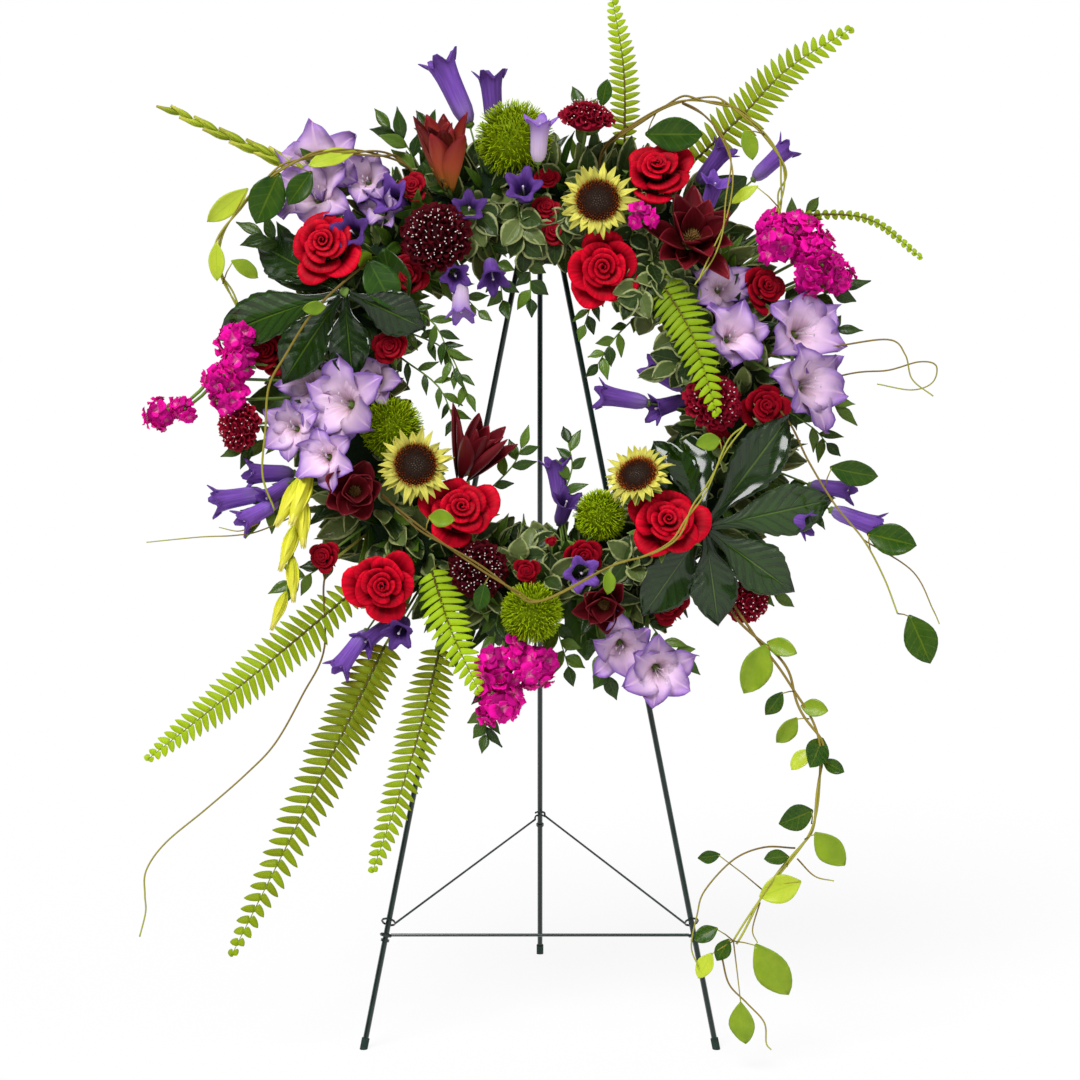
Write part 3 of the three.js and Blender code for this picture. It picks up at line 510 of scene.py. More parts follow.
def make_finishes(blooms, greens):
    red, crimson = blooms.rose_red[:], blooms.spray_red[:]
    lilac, violet, magenta = blooms.lilac[:], blooms.violet[:], blooms.magenta[:]
    burgundy, lime = blooms.burgundy[:], blooms.lime_petal[:]
    fern, moss = greens.fern_green[:], greens.moss_green[:]
    FINISHES.update(
        # Rose petals darken to near black at the foot and stay dark up to the middle stop. This is painted shade for
        # the shadow deep between the petals; the tip stop is the rose's own red.
        rose=petal_finish(
            "Red rose petal", shade(red, 0.03), shade(red, 0.22), red, 0.5, 0.0, 0.25, 22, shade(red, 0.7),
            turns=(0.6, 0.95),
        ),
        # Spray rose petals work the same way: the dark foot and middle stops are painted shade deep in the bloom, and
        # the tip stop is their own crimson.
        spray_rose=petal_finish(
            "Spray rose petal", shade(crimson, 0.04), shade(crimson, 0.28), crimson, 0.5, 0.0, 0.25, turns=(0.5, 0.9),
        ),
        sunflower=petal_finish(
            "Lime sunflower ray", shade(lime, 0.5), lime, shade(lime, 0.8), 0.55, 0.0, 0.2, 14,
            midrib=shade(lime, 0.55), glow=0.08, spread=0.5,
        ),
        seed_disc=tone_finish(
            "Sunflower disc",
            [(0.0, (0.075, 0.065, 0.05)), (0.34, (0.035, 0.024, 0.017)), (0.52, (0.016, 0.006, 0.003)),
             (0.66, (0.09, 0.018, 0.003)), (0.86, (0.3, 0.062, 0.006)), (1.0, (0.4, 0.2, 0.015))],
            0.8, spread=0.9,
        ),
        scabiosa_dark=petal_finish(
            "Dark scabious petal", (0.008, 0.0, 0.001), shade(burgundy, 0.25), shade(burgundy, 0.7), 0.6, 0.0, 0.3,
        ),
        scabiosa=petal_finish(
            "Crimson scabious petal", shade(burgundy, 0.5), shade(burgundy, 1.4), shade(burgundy, 2.6), 0.6, 0.1, 0.3,
        ),
        pin_head=plain_finish("Scabious pin head", (0.75, 0.6, 0.6), (0.9, 0.85, 0.82), 0.5, 900),
        leucadendron=petal_finish(
            "Maroon bract", (0.045, 0.006, 0.004), (0.11, 0.005, 0.009), (0.16, 0.008, 0.014), 0.36, 0.0, 0.2, 26,
            coat=0.15, spread=0.7, glow=0.03,
        ),
        leucadendron_bright=petal_finish(
            "Bright bract", (0.36, 0.15, 0.014), (0.4, 0.07, 0.03), (0.2, 0.008, 0.014), 0.36, 0.0, 0.25, 26,
            coat=0.15, spread=1.1, glow=0.05, edge=(0.13, 0.004, 0.01),
        ),
        bract_core=plain_finish("Leucadendron cone", (0.07, 0.03, 0.008), (0.3, 0.17, 0.04), 0.8, 700, 0.8, 0.001),
        dianthus=petal_finish("Green dianthus", shade(moss, 0.15), shade(moss, 0.75), shade(moss, 1.4), 0.65, 0.0, 0.1),
        gladiolus=petal_finish(
            "Lilac gladiolus petal", (0.5, 0.34, 0.34), (0.8, 0.58, 0.76), lilac, 0.5, 0.0, 0.2, 22,
            edge=(0.16, 0.07, 0.34), midrib=(0.72, 0.5, 0.7), glow=0.12, spread=0.5, turns=(0.42, 0.95),
        ),
        bell=petal_finish(
            "Violet bellflower", (0.42, 0.32, 0.62), shade(violet, 1.2), shade(violet, 0.85), 0.5, 0.1, 0.6, 30,
            glow=0.08, spread=0.8,
        ),
        bell_pale=petal_finish(
            "Pale bellflower", (0.62, 0.5, 0.6), (0.56, 0.42, 0.62), shade(violet, 1.3), 0.5, 0.15, 0.2, 40, glow=0.12,
        ),
        stock=petal_finish(
            "Magenta stock petal", (0.75, 0.25, 0.42), shade(magenta, 0.8), magenta, 0.55, 0.0, 0.3, 20, spread=1.0,
        ),
        bud=petal_finish(
            "Green bud sheath", (0.2, 0.27, 0.01), (0.36, 0.44, 0.03), (0.5, 0.48, 0.08), 0.5, 0.0, 0.2, 18,
            spread=0.5, glow=0.06,
        ),
        yellow_bud=petal_finish(
            "Yellow bud", (0.4, 0.46, 0.02), (0.72, 0.7, 0.05), (0.8, 0.72, 0.14), 0.5, 0.0, 0.15, 18, glow=0.08,
        ),
        calyx=petal_finish("Calyx", (0.09, 0.16, 0.02), (0.16, 0.26, 0.05), (0.2, 0.32, 0.07), 0.5, 0.0, 0.2, 18),
        stem=tone_finish("Green stem", [(0.0, (0.1, 0.17, 0.03)), (1.0, (0.16, 0.25, 0.05))]),
        twig=tone_finish(
            "Olive vine stem", [(0.0, (0.13, 0.075, 0.02)), (0.5, (0.26, 0.2, 0.035)), (1.0, (0.36, 0.38, 0.05))],
        ),
        anther=plain_finish("Anther", (0.4, 0.33, 0.5), (0.7, 0.62, 0.6), 0.6, 900),
        fern=leaf_finish(
            "Sword fern", shade(fern, 0.4), shade(fern, 0.9), shade(fern, 1.6), 0.45, 9.0, shade(fern, 1.3),
            vein_share=0.3, relief=0.25, glow=0.12,
        ),
        rachis=tone_finish(
            "Fern rib", [(0.0, (0.06, 0.05, 0.01)), (0.5, (0.14, 0.11, 0.02)), (1.0, (0.26, 0.33, 0.04))],
        ),
        aralia=leaf_finish(
            "Glossy aralia leaf", (0.004, 0.015, 0.001), (0.009, 0.034, 0.001), (0.022, 0.068, 0.002), 0.26, 9.0,
            (0.14, 0.28, 0.012), vein_share=0.35, relief=1.3, coat=0.85, glow=0.0, quilting=0.006, gloss=0.06,
        ),
        vine=leaf_finish(
            "Vine leaf", (0.008, 0.04, 0.002), (0.08, 0.19, 0.005), (0.45, 0.55, 0.03), 0.36, 6.0, (0.14, 0.26, 0.015),
            vein_share=0.25, relief=0.25, coat=0.08, glow=0.08, quilting=0.0003, gloss=0.15,
        ),
        ruscus=leaf_finish(
            "Dark filler leaf", (0.006, 0.022, 0.002), (0.022, 0.06, 0.004), (0.09, 0.17, 0.012), 0.36, 6.0,
            vein_share=0.25, relief=0.4, coat=0.15, glow=0.02, gloss=0.2,
        ),
        pittosporum=leaf_finish(
            "Variegated pittosporum", (0.008, 0.02, 0.003), (0.032, 0.06, 0.012), (0.14, 0.18, 0.05), 0.42, 5.0,
            margin=(0.32, 0.35, 0.14), vein_share=0.12, relief=0.5, coat=0.1, glow=0.03,
        ),
    )


# ---------------------------------------------------------------- blooms

# Half widths along a petal or leaf from foot to tip, as shares of the largest.
ROSE_RIM = (0.7, 0.9, 1.0, 1.0, 0.9)
LANCE = (0.35, 0.8, 1.0, 0.95, 0.7, 0.36, 0.02)
OVATE = (0.1, 0.62, 0.93, 1.0, 0.86, 0.55, 0.06)
TEPAL = (0.24, 0.36, 0.6, 0.86, 1.0, 0.96, 0.76, 0.42, 0.02)
ROUND = (0.25, 0.6, 0.9, 1.0, 0.92, 0.55)
RAY = (0.75, 1.0, 0.95, 0.72, 0.4, 0.02)
BRACT = (0.4, 0.72, 0.94, 1.0, 0.95, 0.78, 0.28)
BRISTLE = (1.0, 0.8, 0.5, 0.15)
POINTED = (0.06, 0.5, 0.84, 1.0, 0.95, 0.76, 0.48, 0.22, 0.02)
OVAL = (0.06, 0.42, 0.74, 0.94, 1.0, 0.95, 0.78, 0.5, 0.02)
LOBE = (0.14, 0.18, 0.3, 0.58, 0.86, 1.0, 0.96, 0.76, 0.42, 0.02)
PINNA = (0.85, 1.0, 0.98, 0.9, 0.74, 0.48, 0.06)


def rose(bm, place, size, petals, rng, opening=1.0):
    """Petals from the tight heart outwards. Each is curved round the axis, leans open and curls at its lip,
    and the outer ones are broad with a pointed tip."""
    for i in range(petals):
        f = (i + 0.3) / petals
        rim = size * (0.05 + 1.04 * f**1.2 * opening) * rng.uniform(0.93, 1.05)
        top = size * (0.42 - 0.5 * f**1.7 * opening) + rng.uniform(-0.04, 0.04) * size
        flare = size * (0.015 + 0.52 * f**1.2) * opening
        curl = size * 0.09 * f**2 * opening
        belly = rim - flare
        foot = -0.55 * size
        profile = [
            (0.04 * size, foot), (belly * 0.7, foot * 0.8), (belly * 0.97, foot * 0.35 + top * 0.2),
            (belly, top - flare * 0.7), (belly + flare * 0.22, top - flare * 0.32),
            (belly + flare * 0.6, top - flare * 0.06), (rim, top), (rim + curl * 0.4, top - curl),
        ]
        span = (2.0 - 1.2 * f**0.5) * rng.uniform(0.9, 1.12)
        turn = Matrix.Rotation(rng.uniform(-0.14, 0.14) * f, 4, "X")
        turn = turn @ Matrix.Rotation(rng.uniform(-0.14, 0.14) * f, 4, "Y")
        wrap(
            bm, place @ turn, i * GOLDEN + rng.uniform(-0.25, 0.25), profile, [span * w for w in ROSE_RIM],
            grid=(10, 12), dip=0.05 + 0.3 * f, spiral=0.1 - 0.05 * f, ruffle=size * 0.05 * f,
            waves=rng.uniform(2, 4), fall=size * 0.16 * f, tone=rng.random(),
        )
    # The heart's ball reads the petal ramp halfway along, so it takes the ramp's painted shade.
    ball(bm, place, size * 0.1, 0.2, 0, 1, (1, 1, 2.6))


def calyx(bm, place, size, depth, rng, material=1, count=5):
    """Green sepals and the swollen neck behind a bloom."""
    back = place @ Matrix.Translation((0, 0, -depth))
    ball(bm, back, size * 0.36, rng.random(), material, 1, (1, 1, 0.8))
    for k in range(count):
        foot = back @ ray(k * 2 * math.pi / count, size * 0.2, 0, rng.uniform(0.0, 0.5))
        blade(bm, foot, size * 0.8, size * 0.13, LANCE, (2, 4), rng.uniform(-0.5, 0.5), 0.3,
              tone=rng.random(), material=material)


def sunflower(bm, place, size, rng):
    """Two rows of pointed rays round a fuzzy disc, with green bracts behind."""
    disc = 0.6 * size
    for row, (count, length, tilt) in enumerate(((21, 0.52, 0.24), (20, 0.5, 0.02))):
        for k in range(count):
            angle = (k + 0.5 * row + rng.uniform(-0.2, 0.2)) * 2 * math.pi / count
            foot = place @ ray(angle, disc * 0.86, 1.5 - 1.5 * row, tilt + rng.uniform(-0.16, 0.2))
            blade(
                bm, foot, size * length * rng.uniform(0.62, 1.12), size * 0.095, RAY, (4, 6),
                rng.uniform(-0.7, 0.8), 0.4, twist=rng.uniform(-0.9, 0.9), tone=rng.random(),
            )
    ball(bm, place, disc * 0.98, 0.4, 1, 3, (1, 1, 0.17))
    florets = 300
    for i in range(florets):
        share = math.sqrt((i + 0.5) / florets)
        angle = i * GOLDEN
        rise = 0.17 * disc * math.sqrt(1 - 0.9 * share**2)
        foot = place @ ray(angle, share * disc, rise - 1, 0)
        tall = 1.6 + 4.4 * max(0, 1 - abs(share - 0.84) / 0.34)
        lean_out = Matrix.Rotation(rng.uniform(-0.3, 0.3) - 0.35 * share, 4, "X")
        spike(bm, foot @ lean_out, 1.9 if share < 0.6 else 1.3, tall, share, rng.random(), 1, 4)
    bracts = 14
    for k in range(bracts):
        foot = place @ ray(k * 2 * math.pi / bracts + 0.2, disc * 0.7, -5, -0.1)
        blade(bm, foot, size * 0.42, size * 0.12, LANCE, (3, 4), -0.3, 0.3, tone=rng.random(), material=2)
    ball(bm, place @ Matrix.Translation((0, 0, -6)), disc * 0.8, 0.4, 2, 2, (1, 1, 0.4))


def scabious(bm, place, size, rng, pins):
    """A dome of ruffled florets with pale pins standing over it."""
    ball(bm, place, size * 0.8, 0.2, 0, 2, (1, 1, 0.5))
    florets = 95
    for i in range(florets):
        share = (i + 0.5) / florets
        polar = math.acos(1 - 0.98 * share)
        spot = Vector((math.sin(polar), 0, 0.62 * math.cos(polar))) * size * 0.76
        tilt = math.pi / 2 - polar * 0.85 - 0.2
        foot = place @ Matrix.Rotation(i * GOLDEN, 4, "Z") @ Matrix.Translation((0, spot.x, spot.z))
        foot = foot @ Matrix.Rotation(tilt, 4, "X") @ Matrix.Rotation(rng.uniform(-0.9, 0.9), 4, "Y")
        large = 1.0 + 0.55 * share**3
        blade(
            bm, foot, size * 0.25 * large, size * 0.13 * large, ROUND, (4, 3), rng.uniform(-0.9, 0.2), 0.5,
            ruffle=size * 0.07, waves=2.5, tone=rng.random(),
        )
    for i in range(pins):
        share = (i + 0.5) / pins
        polar = math.acos(1 - 0.85 * share)
        polar += rng.uniform(-0.14, 0.14)
        turn = on_dome(i * GOLDEN + 1 + rng.uniform(-0.2, 0.2), polar)
        foot = place @ turn @ Matrix.Translation((0, 0, size * 0.5))
        tall = size * rng.uniform(0.34, 0.48) * (1 - 0.12 * math.cos(polar))
        spike(bm, foot, 0.22, tall, 0.5, 0.3, 0, 3, 0.2)
        ball(bm, foot @ Matrix.Translation((0, 0, tall)), rng.uniform(0.5, 0.82), 0.5, 1, 1, (1, 1, 1.6))


def leucadendron(bm, place, size, spread, rng, bracts, half):
    """Broad leathery bracts round a small cone, the outer ones open by spread radians."""
    widths = BRACT if half > 0.3 else OVAL
    for i in range(bracts):
        f = (i + 0.5) / bracts
        closed = 0.12 if spread < 1 else 0.5
        opening = (closed + (spread - closed) * f**0.8) * rng.uniform(0.85, 1.15)
        foot = place @ ray(i * GOLDEN, size * 0.07, -size * 0.25 * f, math.pi / 2 - opening)
        blade(
            bm, foot, size * (0.62 + 0.4 * f) * rng.uniform(0.85, 1.03), size * half, widths, (6, 11),
            rng.uniform(-0.1, 0.4), 0.7, twist=rng.uniform(-0.2, 0.2), tone=rng.random(),
        )
    scales = 60
    for i in range(scales):
        share = math.sqrt((i + 0.5) / scales)
        foot = place @ ray(i * GOLDEN, share * size * 0.11, size * (0.12 - 0.1 * share), 0)
        spike(bm, foot @ Matrix.Rotation(-0.6 * share, 4, "X"), size * 0.028, size * 0.15, 0.5, rng.random(), 1, 4)
    ball(bm, place, size * 0.15, 0.4, 1, 1)


def dianthus(bm, place, size, rng, bristles):
    """A mossy ball of curling bristles."""
    ball(bm, place, size * 0.74, 0.1, 0, 3)
    for i in range(bristles):
        share = (i + 0.5) / bristles
        polar = math.acos(1 - 1.75 * share)
        foot = place @ on_dome(i * GOLDEN, polar) @ Matrix.Translation((0, 0, size * 0.7))
        foot = foot @ Matrix.Rotation(rng.uniform(0, 6.28), 4, "Z") @ Matrix.Rotation(rng.uniform(0.9, 1.8), 4, "X")
        blade(bm, foot, size * rng.uniform(0.26, 0.36), 0.75, BRISTLE, (1, 3), rng.uniform(-0.4, 1.3),
              tone=rng.random())


def gladiolus(bm, place, size, rng, opening):
    """Six broad flaring petals, three inside three, round a pale throat."""
    for k in range(6):
        inner = k % 2
        tilt = math.radians(76) + rng.uniform(-0.08, 0.08)
        angle = k * math.pi / 3 + rng.uniform(-0.12, 0.12)
        foot = place @ ray(angle, size * 0.08, -size * (0.66 - 0.04 * inner), tilt)
        blade(
            bm, foot, size * 1.36 * rng.uniform(0.86, 1.08), size * (0.5 if inner else 0.43), TEPAL, (8, 12),
            -(1.0 + 0.5 * opening) * rng.uniform(0.8, 1.2), 0.3, ruffle=size * 0.16, waves=4.4,
            twist=rng.uniform(-0.35, 0.35), tone=rng.random(),
        )
    throat = place @ Matrix.Translation((0, 0, -size * 0.68))
    for k in range(3):
        a = k * 2.1 + 0.4
        path = [
            throat.to_translation(),
            throat @ Vector((0.05 * size * math.cos(a), 0.05 * size * math.sin(a), size * 0.4)),
            throat @ Vector((0.12 * size * math.cos(a), 0.12 * size * math.sin(a) - 0.1 * size, size * 0.72)),
        ]
        tube(bm, smooth_path(path, 6), 0.6, 0.4, 5, 0.9, 3)
        ball(bm, Matrix.Translation(path[-1]), 1.5, 0.5, 3, 1, (0.6, 1.6, 0.6))
    ball(bm, throat, size * 0.13, 0.5, 1, 1, (1, 1, 1.8))


def bell(bm, place, size, length, rng, flare, pale):
    """A bellflower with five recurved lobes. The place is the middle of its mouth."""
    tail = -length
    size /= 1.42 * flare
    mouth = size * flare
    profile = [
        (0.12 * size, tail), (0.5 * size, tail * 0.97), (0.7 * size, tail * 0.8), (0.74 * size, tail * 0.55),
        (0.78 * size, tail * 0.3), (0.88 * size, tail * 0.12), (1.0 * mouth, 0), (1.22 * mouth, size * 0.02),
    ]
    wrap(
        bm, place, rng.uniform(0, 6), profile, math.pi, (30, 10), 0.0, lobes=5, lobe_reach=0.3 * mouth,
        lobe_rise=size * (0.42 - 0.42 * (flare - 1)), tone=rng.random(), material=3 if pale else 0,
    )
    throat = place @ Matrix.Translation((0, 0, tail * 0.7))
    tube(bm, [throat.to_translation(), throat @ Vector((0, 0, -tail * 0.62))], 0.8, 0.7, 5, 0.9, 2)
    ball(bm, throat @ Matrix.Translation((0, 0, -tail * 0.62)), 1.6, 0.9, 2, 1)
    back = place @ Matrix.Translation((0, 0, tail))
    ball(bm, back, size * 0.38, 0.5, 1, 1)
    for k in range(5):
        foot = back @ ray(k * 1.257, size * 0.16, 0, math.radians(rng.uniform(55, 78)))
        blade(bm, foot, size * 1.05, size * 0.2, LANCE, (2, 4), 0.2, 0.2, tone=rng.random(), material=1)


def stock_floret(bm, place, size, rng):
    """Four broad ruffled petals round a tuft of small ones."""
    for count, tilt, large in ((4, 0.05, 1.0), (3, 0.6, 0.66)):
        for k in range(count):
            angle = (k + large) * 2 * math.pi / count + rng.uniform(-0.25, 0.25)
            foot = place @ ray(angle, 0, 0, tilt + rng.uniform(-0.2, 0.2))
            blade(
                bm, foot, size * large, size * 0.52 * large, ROUND, (4, 5), rng.uniform(-0.9, 0.1), 0.2,
                ruffle=size * 0.15, waves=2.5, tone=rng.random(),
            )


def bud(bm, place, length, radius, rng, material):
    """A closed bud of overlapping sheaths along +Z."""
    for k in range(4):
        foot = place @ ray(k * 1.6, radius * 0.25, 0, math.radians(80))
        blade(bm, foot, length, radius, LANCE, (4, 6), 0.35, 0.9, tone=rng.random(), material=material)
    ball(bm, place @ Matrix.Translation((0, 0, length * 0.45)), radius * 0.75, 0.5, material, 2,
         (1, 1, length * 0.5 / radius / 0.75))


# ---------------------------------------------------------------- greens


def leaf(bm, foot, way, length, half, rng, tone, widths, grid, bend, cup, ruffle=0.0, roll=None, out=OUTWARDS):
    """A leaf that runs this way from its foot. Its roll is a random one where none is given."""
    roll = rng.uniform(-0.5, 0.5) if roll is None else roll
    place = along_to(foot, way, out, roll)
    blade(bm, place, length, half, widths, grid, bend + rng.uniform(-0.15, 0.15), cup, ruffle, 4, 0, tone)


def fern(bm, points, half, rng, spacing, tone):
    """A frond: a rib with narrow pinnae on both sides, shorter towards the tip and wider apart on a broad one."""
    path = smooth_path(points, 26)
    length = sum((b - a).length for a, b in zip(path, path[1:]))
    tube(bm, path, 1.5, 0.45, 6, 0.4, 1)
    spacing = max(spacing, half * 0.36)
    count = int(length / spacing)
    for k in range(count):
        share = (k + 0.5) / count
        at = share * (len(path) - 1)
        i = min(int(at), len(path) - 2)
        foot = path[i].lerp(path[i + 1], at - i)
        way = (path[i + 1] - path[i]).normalized()
        out = OUTWARDS - way * way.z
        across = way.cross(out).normalized()
        reach = half * min(1.0, 0.62 + 1.7 * share) * (1 - share**2.6) ** 0.75 + 3.5
        for side in (-1, 1):
            run = across * side + way * (0.2 + 0.45 * share) + out * rng.uniform(-0.1, 0.12)
            place = along_to(foot + way * side * spacing * 0.12, run, out, rng.uniform(-0.25, 0.25))
            blade(
                bm, place, reach * rng.uniform(0.92, 1.05), spacing * 0.4, PINNA, (2, 6),
                -0.25 + rng.uniform(-0.15, 0.15), 0.35,
                tone=max(0.0, min(1.0, tone + 0.5 * share**1.5 + rng.uniform(-0.08, 0.08))),
            )
    root(bm, points[0], 1.6, 1.5)


def aralia(bm, place, lobes, rng):
    """A palmate leaf. Each lobe is a direction, clockwise from up, its length and how far it sinks at its tip."""
    for direction, length, sink in lobes:
        foot = place @ Matrix.Rotation(-math.radians(direction), 4, "Z")
        foot = foot @ Matrix.Translation((0, 4, rng.uniform(-1.5, 1.5))) @ Matrix.Rotation(-sink / length, 4, "X")
        blade(
            bm, foot, length * 0.99, min(26.0, 10 + length * 0.14), LOBE, (10, 36), rng.uniform(-0.55, -0.15), 0.3,
            ruffle=3.0, waves=5, tone=rng.uniform(0.2, 0.8), teeth=8,
        )


def vine_stem(bm, points, radius, rng, strands):
    """One or more thin stems that wind loosely along the same way."""
    for strand in range(strands):
        path = smooth_path(points, 8 * len(points))
        wobble = rng.uniform(0, 6)
        if strands > 1:
            swing = 1.9 + 1.4 * strand
            pace = 0.2 + 0.07 * strand
            for k, point in enumerate(path):
                x, y = math.sin(k * pace + wobble), math.cos(k * pace * 0.8 + wobble * 2)
                point += Vector((x, y, 0.5 * math.sin(k * 0.3 + strand))) * swing
        tube(bm, path, radius, radius * 0.75, 6, 0.5 + rng.uniform(-0.15, 0.15), 1)


def hang_leaves(bm, strand, leaves, rng, lying):
    """Vine leaves, each on a short stalk from the nearest point of the strand. A leaf is x, up, tone, length.
    The lying ones point along the strand, the others droop."""
    path = smooth_path(strand, 60)
    for x, up, tone, length in leaves:
        near = min(path, key=lambda p: (p.x - x) ** 2 + (p.y - up) ** 2)
        middle = Vector((x, up, near.z + rng.uniform(2, 9)))
        way = middle - near
        if lying:
            k = min(max(path.index(near), 1), len(path) - 2)
            way = (path[k + 1] - path[k - 1]).normalized() + way * 0.02
        else:
            if way.length < 9:
                way = Vector((rng.uniform(-1, 1), 0.2, 0.15))
            way = way.normalized() + Vector((0, -0.7, 0))
        way.normalize()
        foot = middle - way * length / 2
        tube(bm, [near, near.lerp(foot, 0.5) + Vector((0, 0, 1)), foot + way * 2], 0.8, 0.6, 5, tone, 1)
        half = length * (rng.uniform(0.17, 0.22) if lying and tone == LIME else rng.uniform(0.27, 0.33))
        leaf(bm, foot, way, length, half, rng, tone, OVAL, (8, 10), -0.3, 0.22, ruffle=1.0)


TWIG = 1.1


def sprig(bm, rng, points, length, half, tones, gap, widths):
    """A twig with leaves on both sides."""
    path = smooth_path(points, 24)
    tube(bm, path[::3], TWIG, TWIG * 0.55, 5, 0.5, 1)
    run = sum((b - a).length for a, b in zip(path, path[1:]))
    count = max(4, int(run / gap))
    for j in range(1, count + 1):
        k = min(len(path) - 1, max(1, round(j * (len(path) - 1) / count)))
        way = (path[k] - path[k - 1]).normalized()
        side = way.cross(OUTWARDS).normalized() * (1 if j % 2 else -1)
        if j == count:  # the last leaf ends the twig
            side *= 0.1
        run_way = way + side * rng.uniform(0.6, 1.3) + Vector((0, 0, rng.uniform(-0.2, 0.6)))
        leaf(
            bm, path[k], run_way, length * rng.uniform(0.75, 1.1), half * rng.uniform(0.8, 1.1), rng,
            rng.uniform(*tones), widths, (4, 7), -0.35, 0.3, ruffle=half * 0.12,
        )


def tuck_leaf(bm, rng, slim):
    """One leaf standing out of the foam's inner side, front or outer side."""
    clock = math.radians(rng.uniform(0, 360))
    round_section = rng.uniform(-1.75, 1.75)
    out = Vector((math.sin(clock), math.cos(clock), 0))
    ring_way = Vector((out.y, -out.x, 0))
    spread = math.sin(round_section), math.cos(round_section)
    foot = Vector((0, RING_UP, 0)) + out * (RING_RADIUS + 35 * spread[0])
    foot += OUTWARDS * (26 + 26 * max(-0.6, spread[1]))
    way = out * spread[0] + OUTWARDS * (max(0.1, spread[1]) * 0.5) + ring_way * rng.uniform(-0.9, 0.9)
    length = (rng.uniform(34, 58) if spread[0] > 0 else rng.uniform(30, 46)) * (1 - 0.25 * max(0, spread[1]))
    half = rng.uniform(4.5, 8) if slim else rng.uniform(9, 13)
    facing_out = OUTWARDS - out * spread[0] * 0.3
    leaf(
        bm, foot, way, length, half, rng, rng.random(), LANCE if slim else OVATE, (4, 7), -0.3, 0.3,
        0.5 if slim else 1.4, rng.uniform(-0.9, 0.9), facing_out,
    )


# ---------------------------------------------------------------- what stands where

# Roses: node, clock, reach, lift, size, lean, towards.
ROSES = [
    ("rose_1", 302, 268, 98, 43, 14, 320), ("rose_2", 29, 258, 80, 41, 28, 0), ("rose_3", 30, 138, 90, 44, 10, 230),
    ("rose_4", 217, 272, 95, 41, 10, 200), ("rose_5", 211, 162, 90, 43, 14, 20), ("rose_6", 139, 203, 100, 44, 14, 20),
]
# Spray roses: clock, reach, lift, size. The node that the first four stand for comes first.
SPRAY_ROSES = [
    ("spray_rose_1", 309, 181, 70, 24), ("spray_rose_2", 283, 163, 80, 21), ("spray_rose_3", 67, 261, 70, 27),
    ("spray_rose_4", 96, 241, 65, 28), (None, 327, 252, 70, 18), (None, 277, 294, 55, 27), (None, 2, 221, 70, 14),
    (None, 2, 188, 75, 16), (None, 5, 162, 75, 17), (None, 231, 295, 70, 18), (None, 184, 202, 95, 15),
    (None, 166, 191, 85, 22), (None, 150, 273, 52, 23), (None, 107, 198, 60, 16), (None, 176, 172, 95, 8),
]
# Sunflowers and dianthus: as the roses.
SUNFLOWERS = [
    ("sunflower_1", 18, 198, 105, 42, 8, 0), ("sunflower_2", 235, 160, 100, 41, 10, 60),
    ("sunflower_3", 135, 145, 98, 39, 36, 330),
]
# Scabious: node, clock, reach, lift, size, lean, towards, dark or crimson.
SCABIOUS = [
    ("scabiosa_1", 324, 187, 95, 35, 8, 320, True), ("scabiosa_2", 10, 286, 80, 28, 62, 5, False),
    ("scabiosa_3", 198, 211, 85, 29, 10, 200, True), (None, 262, 323, 60, 26, 35, 262, False),
    (None, 97, 184, 80, 30, 20, 60, False), (None, 136, 318, 48, 25, 30, 130, False),
]
# Leucadendrons: node, clock, reach, lift, size, lean, towards, spread, half width, bright, bracts.
LEUCADENDRONS = [
    ("leucadendron_1", 336, 246, 76, 90, 62, 350, 0.5, 0.145, True, 12),
    ("leucadendron_2", 47, 219, 88, 66, 24, 25, 1.25, 0.2, False, 16),
    ("leucadendron_3", 239, 229, 84, 41, 14, 120, 1.15, 0.34, False, 11),
    (None, 220, 118, 74, 80, 62, 28, 0.62, 0.13, False, 14),
    (None, 164, 246, 85, 40, 26, 190, 1.0, 0.3, False, 11),
]
DIANTHUS = [
    ("dianthus_1", 354, 267, 60, 43, 20, 350), ("dianthus_2", 182, 246, 85, 33, 10, 180),
    (None, 253, 165, 65, 34, 12, 250), (None, 156, 156, 75, 28, 12, 20),
]
# Gladioli: each blossom's clock, reach, lift and size.
GLADIOLI = {
    "gladiolus_1": [(315, 340, 55, 45), (310, 318, 75, 39), (320, 292, 65, 29), (318, 255, 65, 24)],
    "gladiolus_2": [(263, 213, 100, 45), (259, 268, 90, 30), (250, 242, 100, 33), (270, 245, 75, 33),
                    (271, 177, 70, 28)],
    "gladiolus_3": [(77, 213, 90, 38), (79, 288, 85, 46), (91, 287, 100, 46), (62, 220, 75, 31)],
    "gladiolus_4": [(158, 333, 85, 40), (163, 298, 75, 36)],
}
# Spikes of buds: route, finish, how many, and the length and radius of the largest.
BUD_SPIKES = [
    ([(-232, 925, 45), (-271, 950, 45), (-336, 980, 50), (-396, 1008, 55)], "bud", 13, 46, 6.2),
    ([(-243, 620, 80), (-250, 600, 85), (-258, 540, 90), (-270, 467, 85)], "yellow_bud", 6, 70, 10.5),
]
FLORETS = ((22, 15), (15.5, 8), (0, 5))  # a cluster of more than this size has so many florets
FLORET_SIZE = 14.5  # of the largest florets
SPIKE_REACH = 380
# Stocks: each cluster's clock, reach, lift and size.
STOCKS = {
    "stock_1": [(278, 324, 68, 19), (274, 318, 70, 19), (271, 336, 62, 19), (267, 328, 64, 18), (265, 404, 60, 15),
                (266, 382, 60, 13)],
    "stock_2": [(59.5, 291, 78, 20), (56, 300, 70, 18), (60, 322, 72, 20), (64.5, 323, 76, 19), (68, 328, 75, 18),
                (69, 306, 78, 18), (71, 335, 70, 16)],
    "stock_3": [(188, 303, 75, 26), (187, 340, 75, 23), (181, 300, 75, 20), (32, 201, 104, 15)],
}
